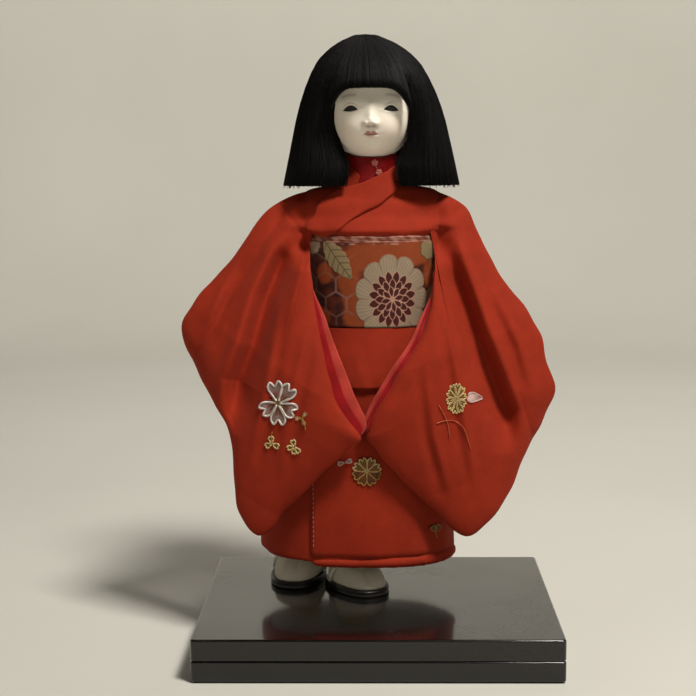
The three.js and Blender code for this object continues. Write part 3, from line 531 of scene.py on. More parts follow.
woodPulp = fibreFinish("woodPulp", linear(224, 202, 160), linear(176, 148, 104), 0.85, 420.0, 1.0, 0.3)
plainWood = fibreFinish("plainWood", linear(226, 200, 158), linear(178, 142, 96), 0.62, 260.0, 0.06, 0.15)
wadding = fibreFinish("wadding", linear(240, 236, 226), linear(196, 190, 176), 0.95, 330.0, 1.0, 1.2)
whiteCotton = fibreFinish("whiteCotton", linear(233, 227, 212), linear(196, 186, 166), 0.9, 1100.0, 1.0, 0.5)

# burnished shell white with its painted lips, brows and blush, and painted shade under the nose
shellWhite, tree, shader = newFinish("shellWhite")
smear = useGroup(tree, handWear, Smears=60.0, Specks=1600.0)["Smear"]
wire(shader, Base_Color=paintOf(tree), Roughness=reach(tree, smear, 0.33, 0.46), Coat_Weight=0.08)
wire(shader, Normal=bumpOf(tree, smear, 0.06, 0.1))

shellBare, tree, shader = newFinish("shellBare")  # the same white on the hands, without paint
smear = useGroup(tree, handWear, Smears=60.0, Specks=1600.0)["Smear"]
wire(shader, Base_Color=between(tree, smear, linear(240, 230, 214), linear(228, 214, 194)))
wire(shader, Roughness=reach(tree, smear, 0.36, 0.5))

blackFloss, tree, shader = newFinish("blackFloss")  # dyed silk floss: each lock its own depth of black
lock = markOf(tree, "lock")
fibre = useGroup(tree, fibreGrain, Fineness=900.0, Stretch=0.05)
floss = between(tree, lock, linear(3, 2, 2), linear(11, 9, 8))
wire(shader, Base_Color=times(tree, floss, fibre["Shade"]), Roughness=reach(tree, lock, 0.52, 0.68))
wire(shader, Normal=bumpOf(tree, fibre["Height"], 0.3, 0.2), Specular_IOR_Level=0.15)

paleFloor, tree, shader = newFinish("paleFloor")
cloud = noiseOf(tree, objectPlace(tree), 3.0, 3.0)
wire(shader, Base_Color=between(tree, cloud, linear(204, 201, 192), linear(214, 212, 203)), Roughness=0.9)
print("finishes made")

# floor and backdrop: a wide dish, flat in the middle and turned up into a low wall all round

dish = {"flat": 1500.0, "bend": 450.0, "high": 1000.0}
quarter = np.linspace(0, np.pi / 2, 16)
flatRadius = np.linspace(5, dish["flat"], 20)[:-1]
wallHeight = np.linspace(dish["bend"] + 50, dish["high"], 3)
bendRadius = dish["flat"] + dish["bend"] * np.sin(quarter)
radius = np.concatenate([flatRadius, bendRadius, 0 * wallHeight + dish["flat"] + dish["bend"]])[:, None]
height = np.concatenate([0 * flatRadius, dish["bend"] * (1 - np.cos(quarter)), wallHeight])[:, None]
turn = np.linspace(0, 2 * np.pi, 120, endpoint=False)
points = pointsOf(radius * np.cos(turn), radius * np.sin(turn), height)
floor = addGrid("floor", points, True, True, inside=(0, 0, -9000), place=np.zeros(3))
floor.data.materials.append(paleFloor)

# lacquered stand

stand = {"boardCorner": 3.0, "boardEdge": 1.5, "railCorner": 2.4, "railEdge": 1.2, "flatInset": 0.6}


def slabPoints(low, high, corner, edge):
    # a board with rounded corners and edges: a rounded rectangle drawn in by an inset at each height
    low, high = 1000 * np.array(low), 1000 * np.array(high)
    quarters = np.linspace(0, np.pi / 2, 9) + np.arange(4)[:, None] * np.pi / 2
    signs = np.sign(np.stack([np.cos(quarters.mean(1)), np.sin(quarters.mean(1))], -1))
    centres = (low + high)[:2] / 2 + signs * ((high - low)[:2] / 2 - corner)
    centreX, centreY = np.repeat(centres, 9, 0).T
    bend = np.linspace(0, np.pi / 2, 7)
    rising, turning = edge * (1 - np.sin(bend)), edge * (1 - np.cos(bend))
    inset = np.concatenate([[edge + stand["flatInset"]], rising, turning, [edge + stand["flatInset"]]])
    height = np.concatenate([low[2:], low[2] + turning, high[2] - rising, high[2:]])
    radius = (corner - inset)[:, None]
    turn = quarters.ravel()
    return pointsOf(centreX + radius * np.cos(turn), centreY + radius * np.sin(turn), height[:, None])


for node in ("stand_top_board", "stand_front_rail", "stand_back_rail", "stand_left_rail", "stand_right_rail"):
    kind = "board" if node == "stand_top_board" else "rail"
    points = slabPoints(*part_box(node), stand[kind + "Corner"], stand[kind + "Edge"])
    slab = addClosed(node + "_lacquered", points, inside=middleOf(points), place=np.zeros(3))
    dress(slab, blackLacquer, "stand", "lacquer", node)
for finish, nodes in (
    (blackFelt, ["stand_felt"]),
    (plainSteel, ["support_post", "post_washer", "post_nut"]),
    (woodPulp, ["torso_core"]),
    (plainWood, ["left_leg", "right_leg", "neck_peg"]),
    (shellBare, ["left_hand", "right_hand"]),
):
    for node in nodes:
        solids[node].data.materials.clear()
        solids[node].data.materials.append(finish)
print("stand made")

# body form under the clothes: ovals whose half sizes follow the height

bodyForm = {
    "z": [15, 33, 98.4, 152.8, 197, 262, 272, 282, 289.2, 295, 318.5],
    "wide": [65.5, 65.5, 58.1, 49, 43, 44, 48.9, 52, 43.7, 18.2, 15.2],
    "deep": [40, 40, 38.4, 36, 31, 30, 26.5, 22, 18.2, 16.7, 15.2],
    "x": [-11.5, -11.5, -6.9, -2.3, 0, 0, 0, 0, 0, 0, 0],
    "square": [2.3, 2.3, 2.3, 2.3, 2.3, 2.3, 2.3, 2.3, 2, 2, 2],
}
hem, obiTop, shoulder = 27.0, 262.0, 282.0  # mm above the board


def formAt(z):
    # half width, half depth, middle and squareness of the oval at a height
    return [curveThrough(z, bodyForm["z"], bodyForm[key]) for key in ("wide", "deep", "x", "square")]


def bodyPoint(angle, z, grow):
    # a point of the form's oval at a height, moved out by the cloth's growth, above the obi along the slope;
    # angle 0 is right, -90 degrees front
    wide, deep, x, square = formAt(z)
    above, below = formAt(z + 0.5), formAt(z - 0.5)
    slope = np.where(z > obiTop, (above[0] + above[1] - below[0] - below[1]) / 2, 0)
    outward = 1 / np.sqrt(1 + slope * slope)
    c, s = np.cos(angle), np.sin(angle)
    across = np.sign(c) * np.abs(c) ** (2 / square)
    along = np.sign(s) * np.abs(s) ** (2 / square)
    grown = grow * outward
    return pointsOf(x + (wide + grown) * across, (deep + grown) * along, z - grow * slope * outward)


def frontY(x, z, grow):
    # the front of the oval at a place and height: minus its half depth times what is left at that width
    wide, deep, middle, square = formAt(z)
    share = np.clip(np.abs(x - middle) / (wide + grow), 0, 1)
    return -(deep + grow) * (1 - share**square) ** (1 / square)


def angleAt(x, z, grow):
    # the oval's angle on the front at a place and height
    wide, deep, middle, square = formAt(z)
    share = np.clip((x - middle) / (wide + grow), -1, 1)
    return -np.arccos(np.sign(share) * np.abs(share) ** (square / 2))


def ring(count):
    # even angles round the body, with the seam at the back
    return np.linspace(-np.pi, np.pi, count, endpoint=False) + np.pi / 2


def ringUv(points):
    # a cloth map in mm: length round the ring and length up the cloth
    roundSteps = np.linalg.norm(np.diff(points, axis=1, append=points[:, :1]), axis=2)
    upSteps = np.linalg.norm(np.diff(points, axis=0, prepend=points[:1]), axis=2)
    return np.stack([np.cumsum(roundSteps, 1) - roundSteps, np.cumsum(upSteps, 0)], -1)


under = {"grow": 1.8, "top": 196.0, "foot": 27.5, "wall": 1.0}
a, z = np.meshgrid(ring(120), np.linspace(under["foot"], under["top"], 26))
underSkirt = addGrid("under_skirt_cloth", bodyPoint(a, z, under["grow"]), True, inside=(0, 0, 110))
dress(thicken(underSkirt, under["wall"]), crimsonSilk, "doll", "lining", "under_skirt")

pad = {"foot": 28.0, "top": 195.5, "sag": 2.0, "slack": 0.4, "lumps": 0.9, "footSlack": 1.0, "footX": -11.5}
a, z = np.meshgrid(ring(96), np.linspace(pad["foot"], pad["top"], 30))
padSide = bodyPoint(a, z, -pad["slack"] - pad["lumps"] * (0.5 + 0.5 * np.sin(9 * a) * np.sin(z / 9)))
rimX, rimY, rimZ = bodyPoint(ring(96), np.full(96, pad["foot"]), -pad["footSlack"]).T
share = np.array([0.15, 0.45, 0.75, 0.94])[:, None]  # rows of the underside, from its middle out
underX = pad["footX"] + (rimX - pad["footX"]) * share
padUnder = pointsOf(underX, rimY * share, rimZ + pad["sag"] * (1 - share) - pad["slack"])
wad = addClosed("skirt_padding_wad", np.concatenate([padUnder, padSide]), inside=(0, 0, 110))
dress(wad, wadding, "doll", "padding", "skirt_padding")

# kimono skirt: the cloth that goes round behind, its folds deepening towards the hem

skirt = {"grow": 4.1, "top": 196.5, "fold": 2.6, "folds": 6, "foldTop": 152.8, "hemRoll": 2.2, "lift": 3.2}
turnUnder = np.linspace(0, np.pi, 9)  # the half turn of the cloth at a hem


def skirtFold(angle, z):
    # vertical folds on the sides and back: a cosine round the body, deeper lower down, none on the front
    deepen = np.clip((skirt["foldTop"] - z) / 125, 0, 1)
    aside = ease(-0.45, 0.35, np.sin(angle))
    wave = 0.5 + 0.5 * np.cos(skirt["folds"] * angle + 0.25 * np.sin(z / 37))
    return skirt["fold"] * deepen * aside * wave


hang = np.linspace(skirt["top"], hem + 4, 60)
rows = np.concatenate([hang, hem + skirt["hemRoll"] * (1 - np.sin(turnUnder)), np.linspace(hem + 6, 60, 8)])
puff = -0.42 * skirt["hemRoll"] * np.concatenate([np.zeros(60), 1 - np.cos(turnUnder), np.full(8, 2.0)])
swell = np.concatenate([np.zeros(50), np.sin(np.linspace(0, np.pi, 19)), np.zeros(8)])
a, z = np.meshgrid(ring(260), rows)
# the left corner rides up
lift = skirt["lift"] * ease(-30, -75, bodyPoint(a, z, 0)[..., 0]) * ease(70, hem, z)
points = bodyPoint(a, z, skirt["grow"] + skirtFold(a, z) + (puff + swell)[:, None])
points[..., 2] += lift
skirtCloth = addGrid("kimono_skirt_cloth", points, True, inside=(0, 0, 110), uv=ringUv(points))
dress(skirtCloth, redCrepe, "doll", "crepe", "kimono_skirt")

# front panel: the overlap that hangs across the front, from its free edge on the left round to the right side

panel = {"grow": 6.2, "edgeX": -44.0, "endY": 12.0, "top": 156.0, "foot": 32.0, "wall": 1.4}
q, z = np.meshgrid(np.linspace(0, 1, 190), np.linspace(panel["top"], panel["foot"], 90))
left = angleAt(panel["edgeX"] - 1.2 * np.sin(z / 17), z, panel["grow"])
wide, deep, middle, square = formAt(z)
right = np.arcsin((panel["endY"] / (deep + panel["grow"])) ** (square / 2))
a = left + (right - left) * q
drape = 0.8 * np.sin((z - 30) / 26 + 5 * q) * ease(160, 60, z)
drape = drape + 0.5 * np.sin(12.4 * a + z / 31) * ease(120, 40, z)
tuck = 1.1 * ease(0.02, 0.0, q) + 0.9 * ease(panel["foot"] + 3.2, panel["foot"], z) + 1.4 * ease(0.97, 1.0, q)
points = bodyPoint(a, z, panel["grow"] + drape - tuck)
panelCloth = addGrid("front_panel_cloth", points, inside=(0, 0, 100), uv=ringUv(points))
dress(thicken(panelCloth, panel["wall"]), redCrepe, "doll", "crepe", "front_panel")

# padded hem: a stuffed roll along the foot of the panel, fuller to the right

roll = {"radius": 4.37, "broad": 1.05, "z": 27.6, "grow": 3.2, "from": -43.5, "toAngle": 0.05}
t = np.linspace(0, 1, 150)
first = angleAt(roll["from"], roll["z"], roll["grow"])
spine = bodyPoint(first + (roll["toAngle"] - first) * t, np.full_like(t, roll["z"]), roll["grow"])
ends = np.sqrt(np.clip(1 - np.abs(2 * t - 1) ** 24, 0.02, 1))
lumps = 1 + 0.05 * sway(150 * t, [9.0, 14.0, 5.3], [0.3, 1.7, 2.9])
thick = roll["radius"] * (0.72 + 0.28 * ease(0, 0.6, t)) * ends * lumps
hemRoll = addTubes("hem_roll_padded", spine[None], thick[None], 22, [0, 0, 1.0], roll["broad"])
dress(hemRoll, redCrepe, "doll", "crepe", "hem_roll")

# waist fold: the tucked-up length below the obi, its own free edge right of the middle

fold = {"grow": 6.4, "top": 196.6, "foot": 154.0, "bulge": 2.0, "stepX": 14.0, "step": 1.2, "roll": 1.8}
hang = np.linspace(fold["top"], fold["foot"] + 3, 44)
inside = fold["foot"] + np.array([6, 14])
rows = np.concatenate([hang, fold["foot"] + fold["roll"] * (1 - np.sin(turnUnder)), inside])
puff = -fold["roll"] * np.concatenate([np.zeros(44), 1 - np.cos(turnUnder), [2, 2]])
a, z = np.meshgrid(ring(300), rows)
down = np.clip((fold["top"] - z) / (fold["top"] - fold["foot"]), 0, 1)
flatX = bodyPoint(a, z, fold["grow"])[..., 0]
overlap = ease(fold["stepX"] + 0.9, fold["stepX"] - 0.9, flatX) * (np.sin(a) < 0) * ease(-60, -10, flatX)
grow = fold["grow"] + fold["bulge"] * np.sin(0.62 * np.pi * down) + puff[:, None] + fold["step"] * overlap
grow = grow + 0.5 * sway(flatX + 0.3 * z, [31.0, 19.0, 11.0], [0.0, 1.1, 2.3]) * down
points = bodyPoint(a, z, grow)
foldCloth = addGrid("waist_fold_cloth", points, True, inside=(0, 0, 175), uv=ringUv(points))
dress(foldCloth, redCrepe, "doll", "crepe", "waist_fold")
print("skirt made")

# bodice: close over chest and shoulders, bloused a little over the top of the obi

bodice = {"grow": 4.1, "foot": 246.0, "top": 295.2, "wall": 1.4}
blouse = {"high": 4.6, "z": 266.8, "reach": 5.2, "pinch": 0.8, "pinchZ": 275.0, "pinchReach": 5.0}


def bodiceSwell(angle, z):
    # how far the cloth lies off the form: a blouse over the obi, uneven round it, with shallow pinches above
    full = blouse["high"] * bell(z, blouse["z"], blouse["reach"])
    wave = 0.5 + 0.5 * np.sin(5 * angle + 0.6)
    pinch = blouse["pinch"] * bell(z, blouse["pinchZ"], blouse["pinchReach"]) * wave
    return bodice["grow"] + full * (0.85 + 0.2 * np.sin(7 * angle) + 0.12 * np.sin(13 * angle + 1)) - pinch


chestRows = np.linspace(bodice["foot"], shoulder, 46)
rows = np.concatenate([chestRows, np.linspace(shoulder + 0.6, bodice["top"], 26)])
a, z = np.meshgrid(ring(220), rows)
points = bodyPoint(a, z, bodiceSwell(a, z))
bodiceCloth = addGrid("kimono_bodice_cloth", points, True, inside=(0, 0, 265), uv=ringUv(points))
dress(thicken(bodiceCloth, bodice["wall"]), redCrepe, "doll", "crepe", "kimono_bodice")

collar = {"hug": 0.9, "tuckDepth": 4.5, "sag": 2.4, "wall": 1.2}
# shares of a collar's way from chest to nape
collarPlaces = np.array([0, 0.18, 0.27, 0.36, 0.45, 0.56, 0.72, 1])


def collarBand(name, inner, outer, grow, tuck, rise):
    # a folded band: low on the chest it lies on the bodice, higher up it is straight from edge to edge;
    # each edge is a row of degrees round the body and a row of heights
    t, w = np.meshgrid(np.linspace(0, 1, 170), np.linspace(0, 1, 22), indexing="ij")
    edges, turns, heights = [], [], []
    for (angles, zs), hug in ((np.array(inner), 0.0), (np.array(outer), collar["hug"])):
        tucked = collar["tuckDepth"] * ease(tuck, 0, collarPlaces)
        corners = bodyPoint(np.radians(angles), zs, grow - hug - tucked)
        # over the foot of the neck
        bridge = pointsOf(*(curveThrough(t, collarPlaces, row) for row in corners.T))
        turns.append(np.radians(curveThrough(t, collarPlaces, angles)))
        heights.append(curveThrough(t, collarPlaces, zs))
        around = bodyPoint(turns[-1], heights[-1], grow - hug)
        edges.append(bridge + (around - bridge) * ease(0.44, 0.54, t)[..., None])
    angle, z = (pair[0] + (pair[1] - pair[0]) * w for pair in (turns, heights))
    straight = edges[0] + (edges[1] - edges[0]) * w[..., None]
    off = grow - collar["hug"] * w**3 - collar["tuckDepth"] * ease(tuck, 0, t)
    laid = bodyPoint(angle, z, off + bodiceSwell(angle, z) - bodice["grow"])
    points = laid + (straight - laid) * np.maximum(ease(0.3, 0.46, t), ease(280, 287, z))[..., None]
    away = unit(points * [1, 1, 0] + [0, 0, 14.0])
    crown = rise - collar["sag"] * ease(0.42, 0.62, t)  # round the neck it sags instead, clear of the hair
    points = points + away * (crown * np.clip(1 - np.abs(2 * w - 1) ** 6, 0, 1) ** 0.5)[..., None]
    return thicken(addGrid(name, points, inside=(0, 0, 280), uv=ringUv(points)), collar["wall"])


upperCollar = collarBand(
    "upper_collar_cloth",
    ([-145, -134, -122, -101, -72, -35, 15, 90], [266, 275.5, 287.3, 298.5, 304, 309, 309.4, 309.5]),
    ([-132, -114.5, -100.5, -82, -66, -46, 0, 90], [257.5, 265, 273.5, 283.4, 289.6, 293.6, 293.8, 292.5]),
    grow=6.2, tuck=0.06, rise=1.0,
)
dress(upperCollar, redCrepe, "doll", "crepe", "upper_collar")
lowerCollar = collarBand(
    "lower_collar_cloth",
    ([-84, -90, -95, -101, -117, -137, -195, -270], [284, 289, 293.5, 298, 304.5, 308, 309, 309.5]),
    ([-100, -105, -109, -114, -122, -134, -180, -270], [276, 280, 282.5, 285, 288, 290.5, 290.8, 291.5]),
    grow=4.4, tuck=0.48, rise=0.1,
)
dress(lowerCollar, redCrepe, "doll", "crepe", "lower_collar")

neckband = {"grow": 3.0, "foot": 295.6, "top": 316.0, "sideRise": 3.5, "lap": 0.9, "flare": 1.2, "wall": 1.0}
a, v = np.meshgrid(ring(140), np.linspace(0, 1, 26))
top = neckband["top"] + neckband["sideRise"] * ease(0.95, 0.35, -np.sin(a))
z = neckband["foot"] + v * (top - neckband["foot"])
aside = np.degrees(np.angle(np.exp(1j * (a + np.pi / 2))))  # degrees from the front
lap = neckband["lap"] * ease(-0.06, 0.06, (z - 300) / 26 - (aside + 14) / 60) * (np.abs(aside) < 90)
grow = neckband["grow"] + neckband["flare"] * ease(306, 296, z) + lap - 0.6 * ease(0.9, 1.0, v)
points = bodyPoint(a, z, grow)
neckCloth = addGrid("under_collar_cloth", points, True, inside=(0, 0, 305), uv=ringUv(points))
dress(thicken(neckCloth, neckband["wall"]), deepSilk, "doll", "lining", "under_collar")
print("bodice and collars made")

# brocade: flowers, leaves and tortoise-shell lines drawn by formula over a patchy ground

inks = {
    "amber": (150, 66, 26), "rust": (112, 42, 22), "maroon": (56, 16, 11), "wine": (72, 20, 14),
    "pink": (206, 152, 130), "silver": (172, 150, 126), "taupe": (140, 116, 92), "leaf": (158, 138, 100),
    "vein": (84, 58, 34), "thread": (150, 112, 96),
}
inks = {key: 0.8 * ink(*seen) for key, seen in inks.items()}
pattern = {  # mm across and up the cloth, then the sizes of each motif
    "repeat": 104.0,
    "flowers": [(14.6, 20.0, 29.0)],
    "petals": [(16, 0.33, 0.63, 0.0), (12, 0.175, 0.457, 0.5), (8, 0.017, 0.293, 0.25)],
    "buds": [(-44.0, 58.0, 7.0, "silver"), (43.0, 55.0, 8.0, "leaf"), (-50.0, 8.0, 11.0, "taupe")],
    "leaves": [((-34.0, 61.5), (-14.0, 34.5), 7.2), ((47.0, 30.0), (43.0, 10.0), 5.0)],
    "glows": [
        (2, 50, 25, 10), (31, 53, 13, 9), (-16, 33, 8, 11), (-14, 20, 6, 9),
        (-11, 7, 9, 8), (44, 36, 6, 9), (-34, 38, 6, 7), (-38, 8, 8, 6),
    ],
    "hexagon": 9.0, "hexagonHalf": 0.65, "glintUp": 59.0, "foldUp": 60.1,
}


def layOver(picture, mask, colour):
    # a picture with a colour laid on by the mask's share
    return picture * (1 - mask[..., None]) + colour * mask[..., None]


def hexagonLine(across, up, size, half):
    # tortoise-shell lines: distance to the edge of the nearest hexagon,
    # as its half width less the widest of its three reaches
    wide = np.sqrt(3) * size
    best, nearReach = np.full(across.shape, 1e9), np.zeros(across.shape)
    for shift in (0.0, 0.5):
        dx = across - (np.round(across / wide - shift) + shift) * wide
        dz = up - (np.round(up / (3 * size) - shift) + shift) * 3 * size
        gap = np.hypot(dx, dz)
        hexReach = np.maximum(np.abs(dx), 0.5 * np.abs(dx) + 0.866 * np.abs(dz))
        best, nearReach = np.minimum(best, gap), np.where(gap < best, hexReach, nearReach)
    return ease(half + 0.25, half - 0.15, wide / 2 - nearReach)


def scallop(far, turn, full, lobes):
    # signed depth inside a round edge of lobes
    return full * (0.85 + 0.15 * np.sqrt(np.abs(np.cos(lobes / 2 * turn)))) - far


def drawGround(across, up):
    # patches of maroon and rust with amber glows, under tortoise-shell lines that are worn away in places
    glow = 0
    for x, z, wide, high in pattern["glows"]:
        glow = glow + np.exp(-((((across - x) / wide) ** 2 + ((up - z) / high) ** 2) ** 1.5))
    warm = ease(0.1, 0.6, glow + 0.12 * blotch(across, up, 5.0, 0.7))
    maroon = np.broadcast_to(inks["maroon"], across.shape + (3,))
    picture = layOver(maroon, ease(-0.3, 0.4, blotch(across, up, 9.0, 2.2)), inks["rust"] * 0.6)
    picture = layOver(picture, warm, inks["amber"])
    line = hexagonLine(across + 2.0, up - 3.0, pattern["hexagon"], pattern["hexagonHalf"])
    line = line * np.maximum(ease(-9, -15, across), ease(36, 41, across))
    line = line * (0.3 + 0.7 * bell(np.hypot(across + 22, up - 24), 0, 13))  # clear only beside the flower
    return layOver(picture, 0.8 * line, inks["thread"]), np.maximum(0.2 * warm, 0.5 * line), 0.05 * warm


def drawBud(picture, gilt, dx, dz, full, colour):
    # a scalloped round with a dark edge
    depth = scallop(np.hypot(dx, dz), np.arctan2(dz, dx), full, 7)
    picture = layOver(picture, ease(-0.3, 0.3, depth), colour * 0.9)
    return layOver(picture, bell(depth, 0.2, 0.4), inks["vein"]), np.where(depth > 0, 0.6, gilt)


def drawLeaf(picture, gilt, relief, across, up, root, tip, half):
    # a saw-edged leaf: its half width is a sine along it, and its veins lean off a middle rib
    spanX, spanZ = tip[0] - root[0], tip[1] - root[1]
    length = np.hypot(spanX, spanZ)
    along = ((across - root[0]) * spanX + (up - root[1]) * spanZ) / length**2
    off = ((across - root[0]) * spanZ - (up - root[1]) * spanX) / length
    saw = 1 + 0.16 * (np.abs(((along * 6) % 1) - 0.5) * 2 - 0.5)
    edge = half * np.sin(np.pi * np.clip(along, 0, 1) ** 0.9) ** 0.75 * saw
    mask = ease(-0.25, 0.25, edge - np.abs(off)) * (along > 0) * (along < 1)
    sideVeins = bell(((along * 6 - np.abs(off) / half * 0.9) % 1) - 0.5, 0, 0.09)
    veins = np.maximum(bell(off, 0, 0.35), 0.75 * sideVeins)
    picture = layOver(layOver(picture, mask, inks["leaf"]), mask * veins, inks["vein"])
    gilt = np.where(mask > 0.5, 0.7 * (1 - veins), gilt)
    return picture, gilt, np.maximum(relief, 0.25 * mask * (1 - 0.6 * veins))


def drawFlower(picture, gilt, relief, dx, dz, full):
    # a ribbed, scalloped round that holds rings of rimmed petals, each petal's half width a sine along it
    far, turn = np.hypot(dx, dz), np.arctan2(dz, dx)
    depth = scallop(far, turn, full, 11)
    mask = ease(-0.3, 0.3, depth)
    rib = 0.5 + 0.5 * np.cos(66 * turn + 0.5 * far)
    parting = bell(np.cos(5.5 * turn), 0, 0.16) * ease(0.6, 0.75, far / full)
    shadow = np.maximum(0.8 * ease(0.9, 0.2, depth), 0.55 * parting)
    picture = layOver(picture, mask, inks["silver"] * (0.84 + 0.2 * rib[..., None]))
    picture = layOver(picture, mask * shadow, inks["taupe"] * 0.8)
    gilt = np.where(mask > 0.5, 0.5, gilt)
    relief = np.maximum(relief, mask * (0.3 - 0.15 * parting))
    for count, near, end, shift in pattern["petals"]:
        part = ((turn / (2 * np.pi) * count + shift) % 1) - 0.5
        out = np.clip((far / full - near) / (end - near), 0, 1)
        half = 0.5 * np.sin(np.pi * out**0.85) ** 0.8
        depth = (half - np.abs(part)) * 2 * np.pi * far / count
        within = (out < 1) * (out > 0)
        rim, petal = ease(-0.55, -0.2, depth) * within, ease(0.15, 0.5, depth) * within
        picture = layOver(layOver(picture, rim, inks["pink"]), petal, inks["wine"])
        gilt = np.where(rim > 0.5, 0.6 * (1 - petal), gilt)
        relief = np.where(rim > 0.5, 0.42 - 0.16 * petal, relief)
    return picture, gilt, relief


def brocadePicture(across, up):
    # colour, gilt and relief at each place of the cloth, in mm; later motifs cover earlier ones
    across = (across + pattern["repeat"] / 2) % pattern["repeat"] - pattern["repeat"] / 2
    picture, gilt, relief = drawGround(across, up)
    for x, z, full, name in pattern["buds"]:
        picture, gilt = drawBud(picture, gilt, across - x, up - z, full, inks[name])
    for leaf in pattern["leaves"]:
        picture, gilt, relief = drawLeaf(picture, gilt, relief, across, up, *leaf)
    for x, z, full in pattern["flowers"]:  # a little taller than wide
        picture, gilt, relief = drawFlower(picture, gilt, relief, 1.09 * (across - x), 0.91 * (up - z), full)
    # painted highlight: a broken pale pink line of light along the outer layer's fold
    glint = bell(up, pattern["glintUp"], 0.5) * ease(0.0, 0.5, blotch(across, 0 * up, 7.0, 0.4))
    picture = layOver(picture, 0.8 * glint, inks["pink"])  # light on the outer layer's fold
    # a paler strip: the layer below, above the fold
    folded = ease(pattern["foldUp"], pattern["foldUp"] + 0.3, up)
    streak = 0.5 + 0.5 * blotch(across * 0.6, 3 * up, 4.0, 1.3)
    strip = layOver(inks["rust"] * np.ones_like(picture), 0.75 * ease(0.25, 0.75, streak), inks["pink"] * 0.8)
    picture = layOver(picture, folded, strip)
    return picture, np.where(folded > 0.5, 0.5, gilt), np.where(folded > 0.5, -0.7, relief)


obi = {"grow": 7.2, "foot": 197.0, "top": 261.6, "edge": 1.3, "belly": 0.6, "front": 52.0, "middle": 228.0}
angles = np.linspace(-np.pi / 2, 1.5 * np.pi, 4001)
walked = walkedAlong(bodyPoint(angles, np.full(angles.shape, obi["middle"]), obi["grow"]))
girth = walked[-1]
behind = np.linspace(obi["front"], girth - obi["front"], 122)[1:-1]
# mm round, finer on the front
around = np.concatenate([np.linspace(-obi["front"], obi["front"], 400), behind])
turnIn = np.linspace(0, np.pi / 2, 6)
lip, sink = obi["edge"] * (1 - np.sin(turnIn)), obi["edge"] * (1 - np.cos(turnIn))
face = np.linspace(obi["foot"] + 1.8, obi["top"] - 1.8, 168)
lowRows, highRows = obi["foot"] + np.append(1.0, lip[::-1]), obi["top"] - np.append(lip, 1.0)
rows = np.concatenate([lowRows, face, highRows])
inset = np.concatenate([[3.4], sink[::-1], 0 * face, sink, [3.4]])[:, None]
a, z = np.meshgrid(np.interp(around % girth, walked, angles), rows)
across, up = np.meshgrid(np.where(around > girth / 2, around - girth, around), rows - obi["foot"])
picture, gilt, relief = brocadePicture(across, up)
belly = obi["belly"] * np.sin(np.pi * np.clip((z - obi["foot"]) / (obi["top"] - obi["foot"]), 0, 1))
belly = belly + 0.25 * sway(across + 0.4 * up, [37.0, 23.0], [0.5, 1.9])
points = bodyPoint(a, z, obi["grow"] - inset + belly + relief)
woven = {"uv": np.stack([across, up], -1), "paint": picture, "marks": {"gilt": gilt}}
obiCloth = addGrid("obi_band_cloth", points, True, inside=(0, 0, 230), **woven)
dress(obiCloth, brocade, "doll", "brocade", "obi_band")
print("obi made")

# bow: two pleated wings behind a gathered knot, and a tail that hangs below

bow = {
    "y": 45.5, "z": 245.0, "wingHalf": 6.2, "wingEdge": 0.8, "wingX": 34.0, "knotHalf": 7.6, "knotEdge": 1.0,
    "wing": [
        (10, 9), (24, 17), (44, 21.5), (51, 18), (52.3, 0), (50.5, -18), (44, -21.5), (24, -17), (10, -9),
    ],
    "knot": [
        (-9, 18), (9, 18), (13, 12), (12, 0), (12.6, -13), (8, -18.6),
        (-8, -18.6), (-12.6, -13), (-12, 0), (-13, 12),
    ],
}


def addBag(node, corners, count, middleX, bulge, mapScale, mapShift):
    # a stuffed bag: rings from the middle of its front out to the outline and back to the middle of its rear,
    # each the bulge's half thickness off the bow's plane
    share = 1 - (1 - np.linspace(0.03, 1, 26)) ** 1.5
    centre = np.array([middleX, bow["z"]])
    flat = centre + (rounded(corners + [0, bow["z"]], count, True) - centre) * share[:, None, None]
    half = bulge(flat[..., 0], flat[..., 1] - bow["z"], share[:, None])
    front, back = (pointsOf(flat[..., 0], bow["y"] + sign * half, flat[..., 1]) for sign in (-1, 1))
    flat = np.concatenate([flat, flat[::-1]])
    mapX, mapZ = mapScale * flat[..., 0] + mapShift[0], flat[..., 1] - bow["z"] + mapShift[1]
    picture, gilt, relief = brocadePicture(mapX, mapZ)
    woven = {"uv": flat, "paint": picture, "marks": {"gilt": gilt}}
    points = np.concatenate([front, back[::-1]])
    bag = addClosed(node + "_padded", points, inside=(middleX, bow["y"], bow["z"]), **woven)
    return dress(bag, brocade, "doll", "brocade", node)


def wingBulge(x, up, share):
    # stuffed half thickness, pleated towards the knot
    pleat = 1.2 * ease(40, 14, np.abs(x)) * np.cos(up * 0.9)
    return bow["wingEdge"] + (bow["wingHalf"] - bow["wingEdge"]) * np.sqrt(1 - share**3) + pleat * (1 - share)


def knotBulge(x, up, share):
    # a wrapped knot: full, with upright gathers
    gather = 0.7 * np.cos(x * 0.95) * (1 - share)
    return bow["knotEdge"] + (bow["knotHalf"] - bow["knotEdge"]) * np.sqrt(1 - share**4) + gather


